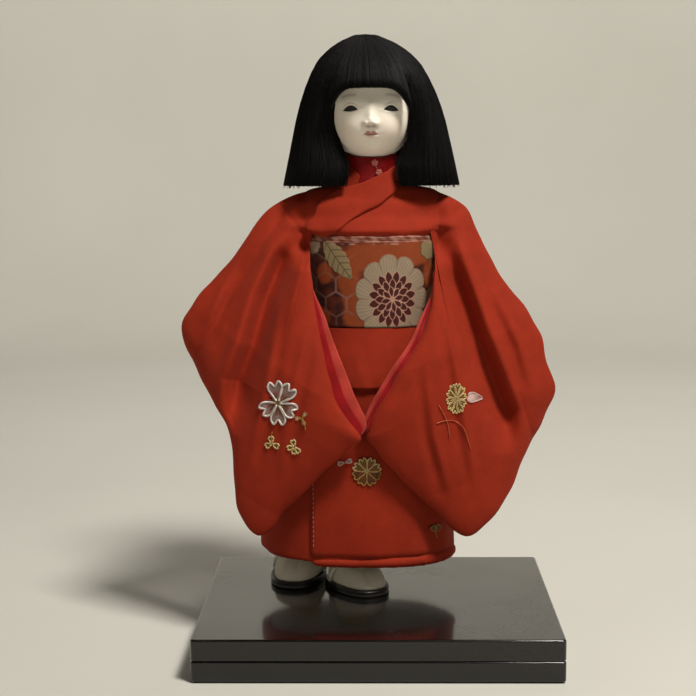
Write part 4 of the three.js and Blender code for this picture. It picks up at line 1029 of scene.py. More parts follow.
for side, node in ((-1, "obi_left_wing"), (1, "obi_right_wing")):
    middleX = side * bow["wingX"]
    wing = addBag(node, np.array(bow["wing"]) * [side, 1], 150, middleX, wingBulge, 1.0, (15.5 - middleX, 21))
knot = addBag("obi_knot", np.array(bow["knot"]), 120, 0.0, knotBulge, 1.2, (-60, 30))
tail = {"half": 19.5, "top": 230.0, "foot": 168.0, "y": 46.2, "wall": 2.4}
x, z = np.meshgrid(np.linspace(-tail["half"], tail["half"], 90), np.linspace(tail["top"], tail["foot"], 130))
wave = 1.1 * np.sin(x / 6.2 + 0.5) * ease(232, 180, z) + 0.6 * np.sin(z / 11)
narrow = 0.72 + 0.28 * ease(228, 195, z)
picture, gilt, relief = brocadePicture(x + 92, z - tail["foot"] - 4)
woven = {"uv": np.stack([x, z], -1), "paint": picture, "marks": {"gilt": gilt}}
tailCloth = addGrid("obi_tail_cloth", pointsOf(x * narrow, tail["y"] + wave, z), inside=(0, 0, 200), **woven)
dress(thicken(tailCloth, tail["wall"]), brocade, "doll", "brocade", "obi_tail")
print("bow made")

# feet: padded white socks on lacquered sandals

feet = {"left": (-55.0, 24.0, -8.0), "right": (-17.0, 0.0, 28.0)}  # place and turn of each
foot = {"half": 18.2, "toe": 40.0, "heel": 14.5, "high": 15.5, "sole": 5.3, "split": 1.6, "splitX": 3.5}
zori = {"half": 21.0, "toe": 42.0, "heel": 17.0, "high": 5.0, "edge": 0.9, "lift": 0.05, "flatInset": 2.2}
strapCut = {"thick": 1.5, "half": 19.4, "y": -15.0, "back": 9.0, "high": 13.6, "lift": 0.9}


def placed(points, name):
    # turns a foot's own points about the upright and sets them at its place
    footX, footY, turn = feet[name]
    c, s = heading(turn)
    x, y, z = np.moveaxis(points, -1, 0)
    return pointsOf(footX + c * x - s * y, footY + s * x + c * y, z)


def power(value, exponent):
    # a power that keeps the sign
    return np.sign(value) * np.abs(value) ** exponent


def soleOutline(half, toe, heel, count):
    # toe and heel are half ovals, the ball a little wider than the heel
    t = np.linspace(0, 2 * np.pi, count, endpoint=False)
    s = np.sin(t)
    along = np.where(s > 0, heel * power(s, 0.8), toe * power(s, 0.9))
    return np.stack([half * power(np.cos(t), 0.75) * (1 - 0.16 * ease(-10, 14, along)), along], -1)


for name in feet:
    outline = soleOutline(zori["half"], zori["toe"], zori["heel"], 80)
    bend = np.linspace(0, np.pi / 2, 5)
    rising, turning = zori["edge"] * (1 - np.sin(bend)), zori["edge"] * (1 - np.cos(bend))
    inset = np.concatenate([[zori["flatInset"]], rising, [0.35, 0.35], turning, [zori["flatInset"]]])
    soleRows, topRows = zori["lift"] + turning, zori["high"] - rising
    height = np.concatenate([[zori["lift"]], soleRows, [2.4, 2.7], topRows, [zori["high"]]])
    flat = outline * (1 - inset[:, None, None] / zori["half"])
    points = placed(pointsOf(flat[..., 0], flat[..., 1], height[:, None]), name)
    sandal = addClosed(name + "_zori_lacquered", points, inside=middleOf(points))
    dress(sandal, zoriLacquer, "doll", "lacquer", name + "_zori")

    outline = soleOutline(foot["half"], foot["toe"], foot["heel"], 140)
    rounding = 1 - 0.1 * (1 - np.sin(np.linspace(0.1, np.pi / 2, 14)))
    share = np.concatenate([np.linspace(0.02, 0.9, 30), rounding])[:, None]
    x, y = np.moveaxis(outline * share[..., None], -1, 0)
    dome = np.sqrt(np.clip(1 - share**3.2, 0, 1))
    ankle = 5.0 * ease(-26, 6, y)
    toeX = foot["splitX"] * (1 if name == "left" else -1)
    split = -foot["split"] * bell(x, toeX, 1.3) * ease(-22, -34, y)
    puckers = 0.25 * np.sin(24 * np.arctan2(y, x)) * ease(0.75, 0.95, share)
    upper = pointsOf(x, y, foot["sole"] + 1.2 + (foot["high"] - 3.0 + ankle + split) * dome + puckers)
    underShare = np.array([0.985, 0.9, 0.5, 0.1])[:, None]
    lower = pointsOf(outline[:, 0] * underShare, outline[:, 1] * underShare, foot["sole"])
    points = placed(np.concatenate([upper, lower]), name)
    sock = addClosed(name + "_tabi_padded", points, inside=middleOf(points))
    dress(sock, whiteCotton, "doll", "cotton", name + "_tabi")

    t = np.linspace(-1, 1, 60)
    arch = strapCut["high"] * np.sqrt(np.clip(1 - np.abs(t) ** 2.6, 0, 1)) + strapCut["lift"]
    strapY = strapCut["y"] + strapCut["back"] * np.abs(t) ** 1.5
    middle = placed(pointsOf(strapCut["half"] * power(t, 0.7), strapY, foot["sole"] + arch), name)[None]
    strapThick = np.full((1, 60), strapCut["thick"])
    strap = addTubes(name + "_zori_strap_sewn", middle, strapThick, 12, [0, 0.6, 1.0])
    dress(strap, whiteCotton, "doll", "cotton", name + "_zori_strap")
print("feet made")

# head: an egg with a modelled face; paint follows the same places

head = {"wide": 31.6, "deep": 33.0, "tall": 39.0, "low": 41.8, "y": -3.0, "z": 356.1, "square": 2.3}
eyes = {"x": 14.2, "z": 348.9, "half": 5.0, "upperLid": 3.0, "lowerLid": 0.8, "slant": 0.06, "browUp": 10.5}
mouthZ, noseZ, nostrilZ, cheekZ = 331.9, 340.2, 337.7, 335.0
noseBridge = (  # heights, and how far it stands out there
    [335.6, 336.6, 338.4, 340.6, 342.2, 345, 349, 353, 357],
    [0, 0.5, 2.4, 4.5, 4.3, 2.9, 1.4, 0.6, 0],
)


def eyeFrame(x, z):
    # place in one eye: along it towards the temple, and above it, with the outer corner a little lower
    along = np.abs(x) - eyes["x"]
    return along, z - eyes["z"] + eyes["slant"] * along


def lidLines(along):
    # upper and lower lid heights: a high arch and a nearly flat line, both parabolas that meet at the corners
    share = np.maximum(1 - (along / eyes["half"]) ** 2, -0.4)
    return eyes["upperLid"] * share, -eyes["lowerLid"] * share


def aboveMouth(x, z):
    # height over the line between the lips, a shallow parabola that rises to its corners
    return z - (mouthZ + 0.014 * x * x)


def faceRelief(x, z):
    # how far each place stands proud of the egg, in mm: nose, lips, cheeks, chin, sockets and lids as bells
    aside = np.abs(x)
    nose = curveThrough(z, *noseBridge) * bell(x, 0, 3.1 + 1.0 * bell(z, noseZ, 3.2))
    wings = 2.2 * bell(aside, 3.6, 1.7) * bell(z, noseZ - 1, 2.1)
    wings = wings - 0.7 * bell(aside, 2.2, 0.9) * bell(z, nostrilZ, 0.8)
    cheeks = 2.2 * bell(aside, 15, 9.5) * bell(z, cheekZ, 9.5)
    chin = 2.0 * bell(x, 0, 8) * bell(z, 320.5, 4.6) - 0.6 * bell(x, 0, 6) * bell(z, 326.8, 2.0)
    over = aboveMouth(x, z)
    peaks = 0.4 * (bell(aside, 1.8, 1.0) - bell(x, 0, 0.8))
    lips = 0.9 * bell(over, 1.4 + peaks, 1.0) + 0.9 * bell(over, -1.4, 1.1) - 0.8 * bell(over, 0, 0.42)
    lips = lips * bell(x, 0, 4.0)
    lips = lips - 0.5 * bell(aside, 5.2, 1.0) * bell(over, 0, 1.0)
    lips = lips - 0.35 * bell(x, 0, 1.0) * bell(over, 3.2, 1.1)
    along, above = eyeFrame(x, z)
    upper, lower = lidLines(along)
    socket = -0.8 * bell(along, -0.5, 8) * bell(above, 1.5, 5.5)
    lids = 0.55 * bell(above, upper + 1.0, 1.2) + 0.4 * bell(above, lower - 1.0, 1.1)
    lids = lids - 0.12 * bell(above, upper + 2.6, 0.7)
    lids = lids * bell(along, 0, 6.5)
    slit = ease(-0.12, 0.4, np.minimum(upper - above, above - lower)) * (np.abs(along) < eyes["half"])
    brow = -2.0 * ease(353, 362, z)  # the forehead falls back under the fringe
    return nose + wings + cheeks + chin + lips + socket + lids + brow - 2.6 * slit


def facePaint(x, z, front):
    # shell white with a faint blush, red lips, soft brows, dark lash lines and dark eye hollows, and painted
    # shade in the nostrils and under the nose
    aside, over = np.abs(x), aboveMouth(x, z)
    along, above = eyeFrame(x, z)
    upper, lower = lidLines(along)
    blush = 0.16 * bell(aside, 17, 8) * bell(z, cheekZ, 7)
    # painted shade: the nostril pits and a patch under the nose tip are darkened, standing in for the nose's
    # own shadow
    noseShade = 0.4 * bell(aside, 2.2, 1.1) * bell(z, nostrilZ, 0.8)
    noseShade = noseShade + 0.5 * bell(x, 0, 4.4) * bell(z, 337.4, 1.6)
    lowerCurve = 1.9 * np.sqrt(np.clip(1 - (x / 3.8) ** 2, 0, 1))
    lowerLip = ease(-0.5, 0.4, lowerCurve + over) * ease(0.2, -0.3, over) * ease(3.9, 2.6, aside)
    upperCurve = 2.5 * ease(5.4, 2.2, aside) * (1 - 0.45 * bell(x, 0, 0.9))
    upperLip = ease(-0.3, 0.3, upperCurve - over) * ease(-0.3, 0.1, over) * ease(5.5, 4.6, aside)
    lipLine = 0.7 * bell(over, 0, 0.3) * ease(5.2, 4.0, aside)
    slit = ease(-0.2, 0.1, np.minimum(upper - above, above - lower)) * (np.abs(along) < eyes["half"] + 0.3)
    lash = bell(above, upper + 0.1, 0.3) * ease(eyes["half"] + 0.6, eyes["half"] - 0.3, np.abs(along))
    browLine = eyes["browUp"] - 0.028 * (along + 1) ** 2
    brow = 0.34 * bell(above, browLine, 0.95) * ease(-5.5, -2.5, along) * ease(8.0, 4.5, along)
    picture = np.broadcast_to(ink(247, 238, 222), x.shape + (3,))
    for mask, colour in (
        (blush, ink(224, 164, 142)),
        # painted shade under the nose, grey-brown
        (noseShade, ink(120, 100, 84)),
        (0.36 * lowerLip, ink(206, 112, 104)),
        (0.74 * upperLip, ink(166, 48, 46)),
        (lipLine, ink(92, 28, 24)),
        (slit + 0.8 * lash, ink(22, 14, 10)),
        (brow, ink(112, 94, 76)),
    ):
        picture = layOver(picture, np.clip(front * mask, 0, 1), colour)
    return picture


u = np.linspace(-1, 1, 360, endpoint=False)
column = np.pi * np.sign(u) * (0.4 * np.abs(u) + 0.6 * np.abs(u) ** 3)  # finer in front
chinTilt, topTilt = -0.62, 0.995  # shares of a quarter turn; the face's rows lie evenly by height
faceTilt = np.arcsin(np.linspace(math.sin(chinTilt * np.pi / 2), 0.2, 150)) / (np.pi / 2)
underChin, overBrow = np.linspace(-topTilt, chinTilt, 12)[:-1], np.linspace(0.14, topTilt, 26)[1:]
tilt = np.concatenate([underChin, faceTilt, overBrow])
a, up = np.meshgrid(column, np.sin(tilt * np.pi / 2))
girth = (1 - np.abs(up) ** head["square"]) ** (1 / head["square"])
x, z = head["wide"] * girth * np.sin(a), head["z"] + np.where(up < 0, head["low"], head["tall"]) * up
y = head["y"] - head["deep"] * girth * np.cos(a)
front = ease(0.25, 0.6, np.cos(a))
points = pointsOf(x, y - front * faceRelief(x, z), z)
headShell = addClosed("head_modelled", points, inside=(0, head["y"], head["z"]), paint=facePaint(x, z, front))
dress(headShell, shellWhite, "head", "shell_white", "head")
neck = {"radius": 12.4, "foot": 296.0, "top": 326.0, "flare": 1.2, "y": -0.5}
a, z = np.meshgrid(ring(72), np.linspace(neck["foot"], neck["top"], 16))
swell = neck["radius"] + neck["flare"] * ease(316, 326, z)
points = pointsOf(swell * np.cos(a), swell * np.sin(a) + neck["y"], z)
skin = np.broadcast_to(ink(232, 220, 202), points.shape)
neckColumn = addClosed("neck_modelled", points, inside=(0, 0, 310), paint=skin)
dress(neckColumn, shellWhite, "head", "shell_white")


def eggY(x, z):
    # the front of the plain egg: its middle minus its depth times what the oval leaves at that place
    tall = np.where(z < head["z"], head["low"], head["tall"])
    girth = (1 - np.abs((z - head["z"]) / tall) ** head["square"]) ** (1 / head["square"])
    return head["y"] - head["deep"] * np.sqrt(np.clip(girth**2 - (x / head["wide"]) ** 2, 0, 1))


lens = {"half": 6.1, "tall": 3.6, "up": 1.3, "front": 1.15, "back": 4.5}
for side, node in ((-1, "left_eye"), (1, "right_eye")):
    t, far = np.meshgrid(np.linspace(0, 2 * np.pi, 48, endpoint=False), np.linspace(0.04, 1, 16))
    along = lens["half"] * far * np.cos(t)
    x = side * (eyes["x"] + along)
    z = eyes["z"] + lens["up"] - eyes["slant"] * along + lens["tall"] * far * np.sin(t)
    skin = eggY(x, z)
    front, back = skin + lens["front"] + 0.9 * far**2, skin + lens["back"] - 1.5 * far**4
    points = np.concatenate([pointsOf(x, front, z), pointsOf(x, back, z)[::-1]])
    ball = addClosed(node + "_glass", points, inside=(side * eyes["x"], skin.mean() + 2.5, eyes["z"]))
    dress(ball, eyeGlass, "head", "eye_glass", node)
print("head made")

# hair: a dark under-layer and combed locks that fall from the crown to one cut end, with a straight fringe

hair = {
    "foot": 296.5, "tall": 106.4, "wide": 64.0, "deep": 48.0, "back": 3.0, "lean": -4.0, "puff": 3.6,
    "locks": 2700, "fringeLocks": 1900, "thick": 0.3,
}
hairForm = {
    "run": [0, 0.08, 0.16, 0.26, 0.38, 0.48, 0.58, 0.74, 0.88, 1.03],
    "rise": [1.0, 0.992, 0.965, 0.915, 0.82, 0.71, 0.6, 0.4, 0.18, -0.045],
    "wide": [0.0, 0.12, 0.24, 0.385, 0.56, 0.67, 0.745, 0.84, 0.925, 1.0],
    "deep": [0.0, 0.15, 0.3, 0.48, 0.69, 0.83, 0.91, 0.97, 0.99, 1.0],
}
faceSide = {  # where the side hair ends beside the face
    "run": [0.4, 0.5, 0.56, 0.66, 0.74, 0.8, 0.85, 0.89, 0.94, 1.03],
    "x": [24.5, 26.5, 27.3, 27.4, 26.8, 25.5, 23, 19.3, 18.5, 22.5],
    "y": [-33, -31, -28, -22, -19, -17.5, -17.5, -20, -24, -29],
}


def hairPoint(turn, run, depth):
    # a place on the hair's outer form, drawn in by a depth:
    # turn 0 is the front, run 0 the crown and 1 the cut end
    rise, wide, deep = (curveThrough(run, hairForm["run"], hairForm[key]) for key in ("rise", "wide", "deep"))
    flat = ease(0.45, 0.05, run)
    inward = depth * (1 - 0.8 * flat)
    return pointsOf(
        np.maximum(hair["wide"] * wide - inward, 0) * np.sin(turn) + hair["lean"] * np.clip(rise, 0, 1) ** 3,
        hair["back"] - np.maximum(hair["deep"] * deep - inward, 0) * np.cos(turn),
        hair["foot"] + hair["tall"] * rise - depth * flat,
    )


def faceEdge(run):
    # the turn at which the side hair begins on the outer form
    return curveThrough(run, [0, 0.5, 0.56, 0.66, 0.78, 0.9, 1.03], [0.62, 0.62, 0.62, 0.58, 0.5, 0.42, 0.4])


def sidePoint(side, place, run, depth):
    # side hair: from the outer form at the back, drawn in near the face
    # to an edge that follows cheek, jaw and collar
    edge = faceEdge(run)
    points = hairPoint(side * (edge + (np.pi - edge) * place), run, depth)
    start = hairPoint(side * edge, run, depth)
    edgeX = side * curveThrough(run, faceSide["run"], faceSide["x"]) + 1.4 * ease(0.5, 0.66, run)
    edgeY = curveThrough(run, faceSide["run"], faceSide["y"])
    pull = (1 - np.clip(place / 0.24, 0, 1)) ** 2 * ease(0.42, 0.6, run)
    points[..., 0] += pull * (edgeX - start[..., 0])
    points[..., 1] += pull * (edgeY + 0.8 * depth - start[..., 1])
    return points


def fringeEnd(turn):
    # the run at which the fringe is cut: level over the brow,
    # falling round to the cheeks as a steep power of the turn
    return 0.549 + 0.09 * np.abs(turn / 0.564) ** 4.6


def fringePuff(turn, run):
    # how far the fringe stands out over the brow, fading towards the temples
    return hair["puff"] * ease(0.2, 0.5, run) * ease(0.66, 0.4, np.abs(turn))


def hairLayer(name, outer, inner, *stoodFor):
    # a dark sheet of hair between two faces, the inner one turned back from the outer one's end
    points = np.concatenate([outer, inner[::-1]])
    layer = addGrid(name, points, inside=(0, 3, 350), marks={"lock": np.full(points.shape[:2], 0.1)})
    dress(layer, blackFloss, "head", "hair", *stoodFor)


place, run = np.meshgrid(np.linspace(0, 1, 90), np.linspace(0.0, 1.0, 60))
deep = 10.5 - 4.5 * ease(0.82, 0.95, run)  # thinner at the foot, clear of the collar when the head turns
for side, name, stoodFor in ((-1, "hair_left_underlayer", ["hair"]), (1, "hair_right_underlayer", [])):
    inner = sidePoint(side, place, np.clip(run, 0.12, 1), deep)
    hairLayer(name, sidePoint(side, place, run, 2.2), inner, *stoodFor)
turn, run = np.meshgrid(0.6 * np.linspace(-1, 1, 60), np.linspace(0, 1, 40))
run = run * (fringeEnd(turn) - 0.004)
outer = hairPoint(turn, run, 1.6 - fringePuff(turn, run))
hairLayer("fringe_underlayer", outer, hairPoint(turn, np.maximum(run, 0.12), 3.6))


def lockTubes(name, middle, thick, tint):
    # three-sided locks, drawn to a point at both ends
    steps = middle.shape[1]
    taper = np.clip(np.minimum(np.linspace(0.3, 6, steps), np.linspace(6, 0.7, steps)), 0, 1)
    away = middle - np.array([0, hair["back"], 340.0])
    marks = {"lock": np.repeat(tint, steps * 3)}
    locks = addTubes(name, middle, thick[:, None] * taper, 3, away, 1.25, marks=marks)
    dress(locks, blackFloss, "head", "hair")


dice = np.random.default_rng(7)
for side, name in ((-1, "hair_left_locks"), (1, "hair_right_locks")):
    count = hair["locks"]
    place = np.clip(dice.uniform(-0.01, 1.02, count), 0, 1.02)[:, None]
    begin = dice.uniform(0.0, 0.2, count)[:, None] ** 1.3
    end = (1.0 + dice.normal(0, 0.0016, count) + 0.012 * (dice.uniform(0, 1, count) > 0.994))[:, None]
    run = begin + (end - begin) * np.linspace(0, 1, 12) ** 1.05
    drift = dice.normal(0, 0.009, count)[:, None] * run
    drift = drift + dice.normal(0, 0.006, count)[:, None] * np.sin(9 * run + 6 * place)
    depth = (2.4 * dice.uniform(0, 1, count) ** 1.6)[:, None] - 0.5 * dice.uniform(0, 1, count)[:, None] * run
    depth = depth + 0.25 * np.sin(14 * run + 20 * place)
    thick = hair["thick"] * dice.uniform(0.7, 1.3, count)
    lockTubes(name, sidePoint(side, place + drift, run, depth), thick, dice.uniform(0, 1, count))
count = hair["fringeLocks"]
place = dice.uniform(-0.62, 0.62, count)[:, None]
end = fringeEnd(place) + dice.normal(0, 0.0018, count)[:, None]
begin = dice.uniform(0.0, 0.16, count)[:, None]
run = begin + (end - begin) * np.linspace(0, 1, 10)
turn = place + dice.normal(0, 0.012, count)[:, None] * run
depth = (2.6 * dice.uniform(0, 1, count) - 0.2)[:, None] - fringePuff(turn, run)
thick = hair["thick"] * dice.uniform(0.7, 1.2, count)
lockTubes("fringe_locks", hairPoint(turn, run, depth), thick, dice.uniform(0, 1, count))
print("hair made")

# sleeves: long hanging bags that sweep forward from the arms and nearly meet in front of the skirt

sleeveCut = {
    "edge": 1.3, "front": 10.0, "back": 7.0,
    "armBulge": 7.0, "armReach": 16.0, "armY": -3.0, "armRadius": 5.5,
    "armStart": (67.5, -2.0), "sweep": 59.0, "sweepReach": 45.0, "ridge": 4.0,
}
sleeves = {  # mm out from the doll's middle and up from the shoulder; hand has its depth in between
    "left": {
        "side": -1, "valleyDepth": 17.0, "hand": (116, -20, -79), "centre": (72, -130), "groove": 1.2,
        "corners": [
            (41, 9), (72, -1), (100, -37), (130, -71), (136, -83), (135, -96), (117, -131), (103, -154),
            (99, -177), (98, -199), (95, -217), (81, -233), (58, -211), (31, -182), (12.5, -165.5), (8, -161),
            (9.2, -156.5), (17.5, -146), (26, -130), (34.5, -96), (41, -57), (43.5, -28), (41, -14),
        ],
        "seam": [(68, 3), (62, -2), (55, -11), (49, -20), (46, -27)],
        "layers": ((1.5, 3.0, 6.0, 5.5, 1.0), (2.5, 6.0, 12.5, 10.5, 2.0)),
        "valley": [(54, -20), (62, -36), (74, -64), (84, -98), (94, -123), (99, -160)],
        "creases": [
            [(60, -60), (70, -120), (84, -185)],
            [(40, -80), (52, -130), (62, -190)],
            [(90, -30), (106, -66), (118, -100)],
        ],
    },
    "right": {
        "side": 1, "valleyDepth": 15.0, "hand": (96, -19, -89), "centre": (64, -130), "groove": 0.6,
        "corners": [
            (41, 9), (67, -1), (76, -19), (94, -53), (109, -72), (121, -92), (125, -112), (132, -130),
            (126, -148), (112, -175), (95, -210), (82, -226), (67, -235), (48, -220), (19, -190),
            (-0.5, -166),
            (-4, -161), (-2.6, -156.5), (1, -146), (17, -118), (33, -93), (42, -65), (44.5, -29), (41, -14),
        ],
        "seam": [(66, 2), (61, -4), (56, -13), (50, -22), (46, -29)],
        "layers": ((1.5, 2.4, 2.6, 2.6, 1.0), (2.5, 4.6, 5.4, 5.0, 2.0)),
        "valley": [(51, -22), (54, -36), (64, -64), (72, -88), (82, -114), (95, -147), (97, -176)],
        "creases": [
            [(50, -70), (58, -130), (70, -200)],
            [(84, -60), (102, -100), (110, -130)],
            [(34, -110), (40, -160), (52, -205)],
        ],
    },
}


def fromLine(x, z, line):
    # signed distance to a bent line, positive on its inner side, and the share of the way along it
    line = np.asarray(line, float)
    best, sign, share = np.full(x.shape, 1e9), np.ones(x.shape), np.zeros(x.shape)
    for k, (start, stop) in enumerate(zip(line[:-1], line[1:])):
        span = stop - start
        dx, dz = x - start[0], z - start[1]
        t = np.clip((dx * span[0] + dz * span[1]) / (span @ span), 0, 1)
        gap = np.hypot(dx - t * span[0], dz - t * span[1])
        nearer = gap < best
        best = np.where(nearer, gap, best)
        sign = np.where(nearer, np.sign(dx * span[1] - dz * span[0]), sign)
        share = np.where(nearer, (k + t) / (len(line) - 1), share)
    return -best * sign, share


def outlineShare(sleeve, out, up):
    # how far a place lies from the sleeve's middle to its outline, along the line through both
    centre = np.asarray(sleeve["centre"], float)
    edgeX, edgeZ = (sleeve["outline"] - centre).T
    angle = np.arctan2(edgeZ, edgeX)
    order = np.argsort(angle)
    dx, dz = out - centre[0], up - centre[1]
    full = np.interp(np.arctan2(dz, dx), angle[order], np.hypot(edgeX, edgeZ)[order], period=2 * np.pi)
    return np.clip(np.hypot(dx, dz) / full, 0, 1)


def sleeveMiddle(sleeve, out, up):
    # the bag's middle sheet: it hangs from the arm's line and swings forward with the distance below it
    cut = sleeveCut
    handOut, handY, handUp = sleeve["hand"]
    startOut, startUp = cut["armStart"]
    spanX, spanZ = handOut - startOut, handUp - startUp
    length = np.hypot(spanX, spanZ)
    along = ((out - startOut) * spanX + (up - startUp) * spanZ) / length
    off = ((out - startOut) * spanZ - (up - startUp) * spanX) / length
    onArm = cut["armY"] + np.clip(along / length, 0, 1) * (handY - cut["armY"])
    slack = 1 - 0.5 * np.clip(along / (2 * length), 0, 1)
    hang = np.maximum(off - cut["armRadius"], 0) / cut["sweepReach"]
    return onArm - cut["sweep"] * slack * (1 - np.exp(-hang)), off


def sleeveSkin(sleeve, out, up, share, front):
    # the front or back face: the middle sheet moved by the stuffing, fuller over the arm,
    # with the valley and small creases
    cut = sleeveCut
    middle, off = sleeveMiddle(sleeve, out, up)
    full = np.sqrt(np.clip(1 - share**3, 0, 1))
    arm = cut["armBulge"] * bell(off, 0, cut["armReach"]) * (1 - 0.75 * share**6)
    if not front:
        return middle + cut["edge"] + (cut["back"] - cut["edge"]) * full + arm
    gap, along = fromLine(out, up, sleeve["valley"])
    valley = sleeve["valleyDepth"] * bell(gap, 0, np.where(gap > 0, 7.0, 11.0)) * np.clip(full * 1.6, 0, 1)
    valley = valley * ease(0.0, 0.3, along) * ease(1.02, 0.8, along)
    raised = cut["ridge"] * bell(gap, 11.0, 6.0) * ease(0, 0.2, along) * ease(1.0, 0.6, along)
    for line in sleeve["creases"]:
        near, run = fromLine(out, up, line)
        crease = 1.5 * bell(near, 3.5, 3.5) - 1.7 * bell(near, -2.5, 4.0)
        raised = raised + crease * np.sin(np.pi * run) ** 0.7
    stuffed = cut["edge"] + (cut["front"] - cut["edge"]) * full + arm
    skin = middle - stuffed + valley - raised * np.clip(1.5 * full, 0, 1)
    joined = ease(66, 48, out) * ease(-46, -26, up)  # beside the bodice the cloth runs on into its front
    x, z = sleeve["side"] * np.minimum(out, 47), shoulder + np.clip(up, -17, 0)
    bodiceFront = frontY(x, z, bodiceSwell(angleAt(x, z, bodice["grow"]), z)) * ease(15, 0, up)
    near, run = fromLine(out, up, sleeve["seam"])
    groove = sleeve["groove"] * bell(near, 0, 1.5) * np.clip(5 * run, 0, 1) * np.clip(5 - 5 * run, 0, 1)
    return skin + joined * (bodiceFront - 0.5 + ease(47.5, 42.5, out) - skin) + groove


def sleeveBag(sleeve):
    # the closed bag: rings from the middle of its front out to a slightly uneven outline, and back behind
    centre = np.array(sleeve["centre"], float)
    outline = rounded(sleeve["corners"], 420, True)
    around = np.linspace(0, 700, 420, endpoint=False)
    uneven = 0.7 * sway(around, [41.0, 27.0, 63.0], [0.2, 1.3, 2.2]) * ease(-5, -40, outline[:, 1])
    sleeve["outline"] = outline + unit(outline - centre) * uneven[:, None]
    share = 1 - (1 - np.linspace(0.015, 1, 64)[:, None]) ** 1.6
    out, up = np.moveaxis(centre + (sleeve["outline"] - centre) * share[..., None], -1, 0)
    share = np.broadcast_to(share, out.shape)
    front = sleeveSkin(sleeve, out, up, share, True)
    back = np.maximum(sleeveSkin(sleeve, out, up, share, False), front + 2 * sleeveCut["edge"])
    frontSkin, backSkin = (pointsOf(sleeve["side"] * out, y, shoulder + up) for y in (front, back))
    return np.concatenate([frontSkin, backSkin[::-2]])


def armTube(name, sleeve):
    # a turned arm from the shoulder peg to the hand
    handOut, handY, handUp = sleeve["hand"]
    elbow = (0.5 * handOut + 28, -14.5, 0.5 * handUp - 10)
    wrist = (handOut - 6, handY, handUp - 2)
    path = rounded([(40, -6, -2), (56, -9, -3.5), (61, -11, -14), elbow, wrist], 60)
    path = path * [sleeve["side"], 1, 1] + [0, 0, shoulder]
    girth = np.interp(np.linspace(0, 1, 60), [0, 0.16, 0.3, 0.85, 1], [3.2, 3.2, 3.3, 3.4, 3.2])
    return addTubes(name, path[None], girth[None], 18, [0, 1.0, 0])


ribbon = {"half": 0.75, "inside": 12.0, "crimsonBack": 0.6, "roseBack": 3.2}
lip = np.linspace(-np.pi / 2, np.pi / 2, 9)
lipRun = np.linspace(-ribbon["inside"], -0.5, 6)
lipIn = np.concatenate([lipRun, ribbon["half"] * np.cos(lip) - 0.3, lipRun[::-1]])
lipBack = ribbon["half"] * np.concatenate([np.full(6, -1), np.sin(lip), np.full(6, 1)])


def ribbonPoints(sleeve, layer, back):
    # a lining that shows along the sleeve's inner edge, below the obi's top: a lip moved in by its reach
    edgeLine = rounded([(42.6, -46)] + sleeve["corners"][-3:-9:-1], 120)
    t = np.linspace(0, 1, 120)[:, None]
    fade = ease(0.0, 0.3, t) * ease(1.0, 0.95, t)
    inward = unit(np.gradient(edgeLine, axis=0)[:, ::-1] * [1, -1])
    inward = inward * np.sign(-inward[60, 0])
    stands = curveThrough(t, [0, 0.3, 0.7, 0.9, 1], sleeve["layers"][layer]) * fade - (1 - fade)
    moved = stands + lipIn * (0.1 + 0.9 * fade)
    out, up = (edgeLine[:, None] + inward[:, None] * moved[..., None]).transpose(2, 0, 1)
    middle = sleeveMiddle(sleeve, edgeLine[:, 0], edgeLine[:, 1])[0][:, None]
    y = middle + back + lipBack + 0.5 * np.sin(t * 31 + layer) * fade
    return pointsOf(sleeve["side"] * out, y, shoulder + up)


for name, sleeve in sleeves.items():
    side = sleeve["side"]
    within = (side * sleeve["centre"][0], -30, shoulder + sleeve["centre"][1])
    cloth = addClosed(name + "_sleeve_cloth", sleeveBag(sleeve), inside=within)
    dress(cloth, redCrepe, name + "_arm", "crepe", name + "_sleeve")
    dress(armTube(name + "_arm_turned", sleeve), plainWood, name + "_arm", "wood", name + "_arm")
    for layer, (label, finish, stoodFor) in enumerate((
        ("crimson", crimsonSilk, [name + "_inner_sleeve"]),
        ("rose", roseSilk, []),
    )):
        points = ribbonPoints(sleeve, layer, ribbon[label + "Back"])
        lining = addGrid(name + "_inner_sleeve_" + label, points, inside=(side * 70, -25, shoulder - 90))
        dress(lining, finish, name + "_arm", "lining", *stoodFor)
print("sleeves made")

# embroidery: satin-stitch petals with raised rims, and threads laid on the cloth

sewing = {
    "silver": (214, 206, 198), "lilac": (146, 122, 120), "brown": (132, 66, 40), "olive": (110, 84, 38),
    "gold": (170, 130, 64), "paleGold": (214, 186, 128), "rose": (216, 184, 176), "coral": (204, 100, 66),
    "umber": (84, 48, 24), "blush": (190, 108, 98),
}
sewing = {key: ink(*seen) for key, seen in sewing.items()}
stitches, strands = 48, 6  # points along each sewn line, and round it


def petalLine(at, turn, length, half, notch):
    # one petal's outline on the flat: narrow at its root, widest near its tip,
    # which a notch parts into two points
    flank = np.array([
        (0.1, 0.12), (0.4, 0.62), (0.68, 1.0), (0.88, 0.94), (1.0, 0.6), (1.0 - 0.5 * notch, 0.28),
    ])
    corners = np.concatenate([flank, [(1.0 - notch, 0)], flank[::-1] * [1, -1]]) * [length, half]
    along, off = rounded(corners, stitches).T
    c, s = heading(turn)
    return np.stack([at[0] + c * along - s * off, at[1] + s * along + c * off], -1)


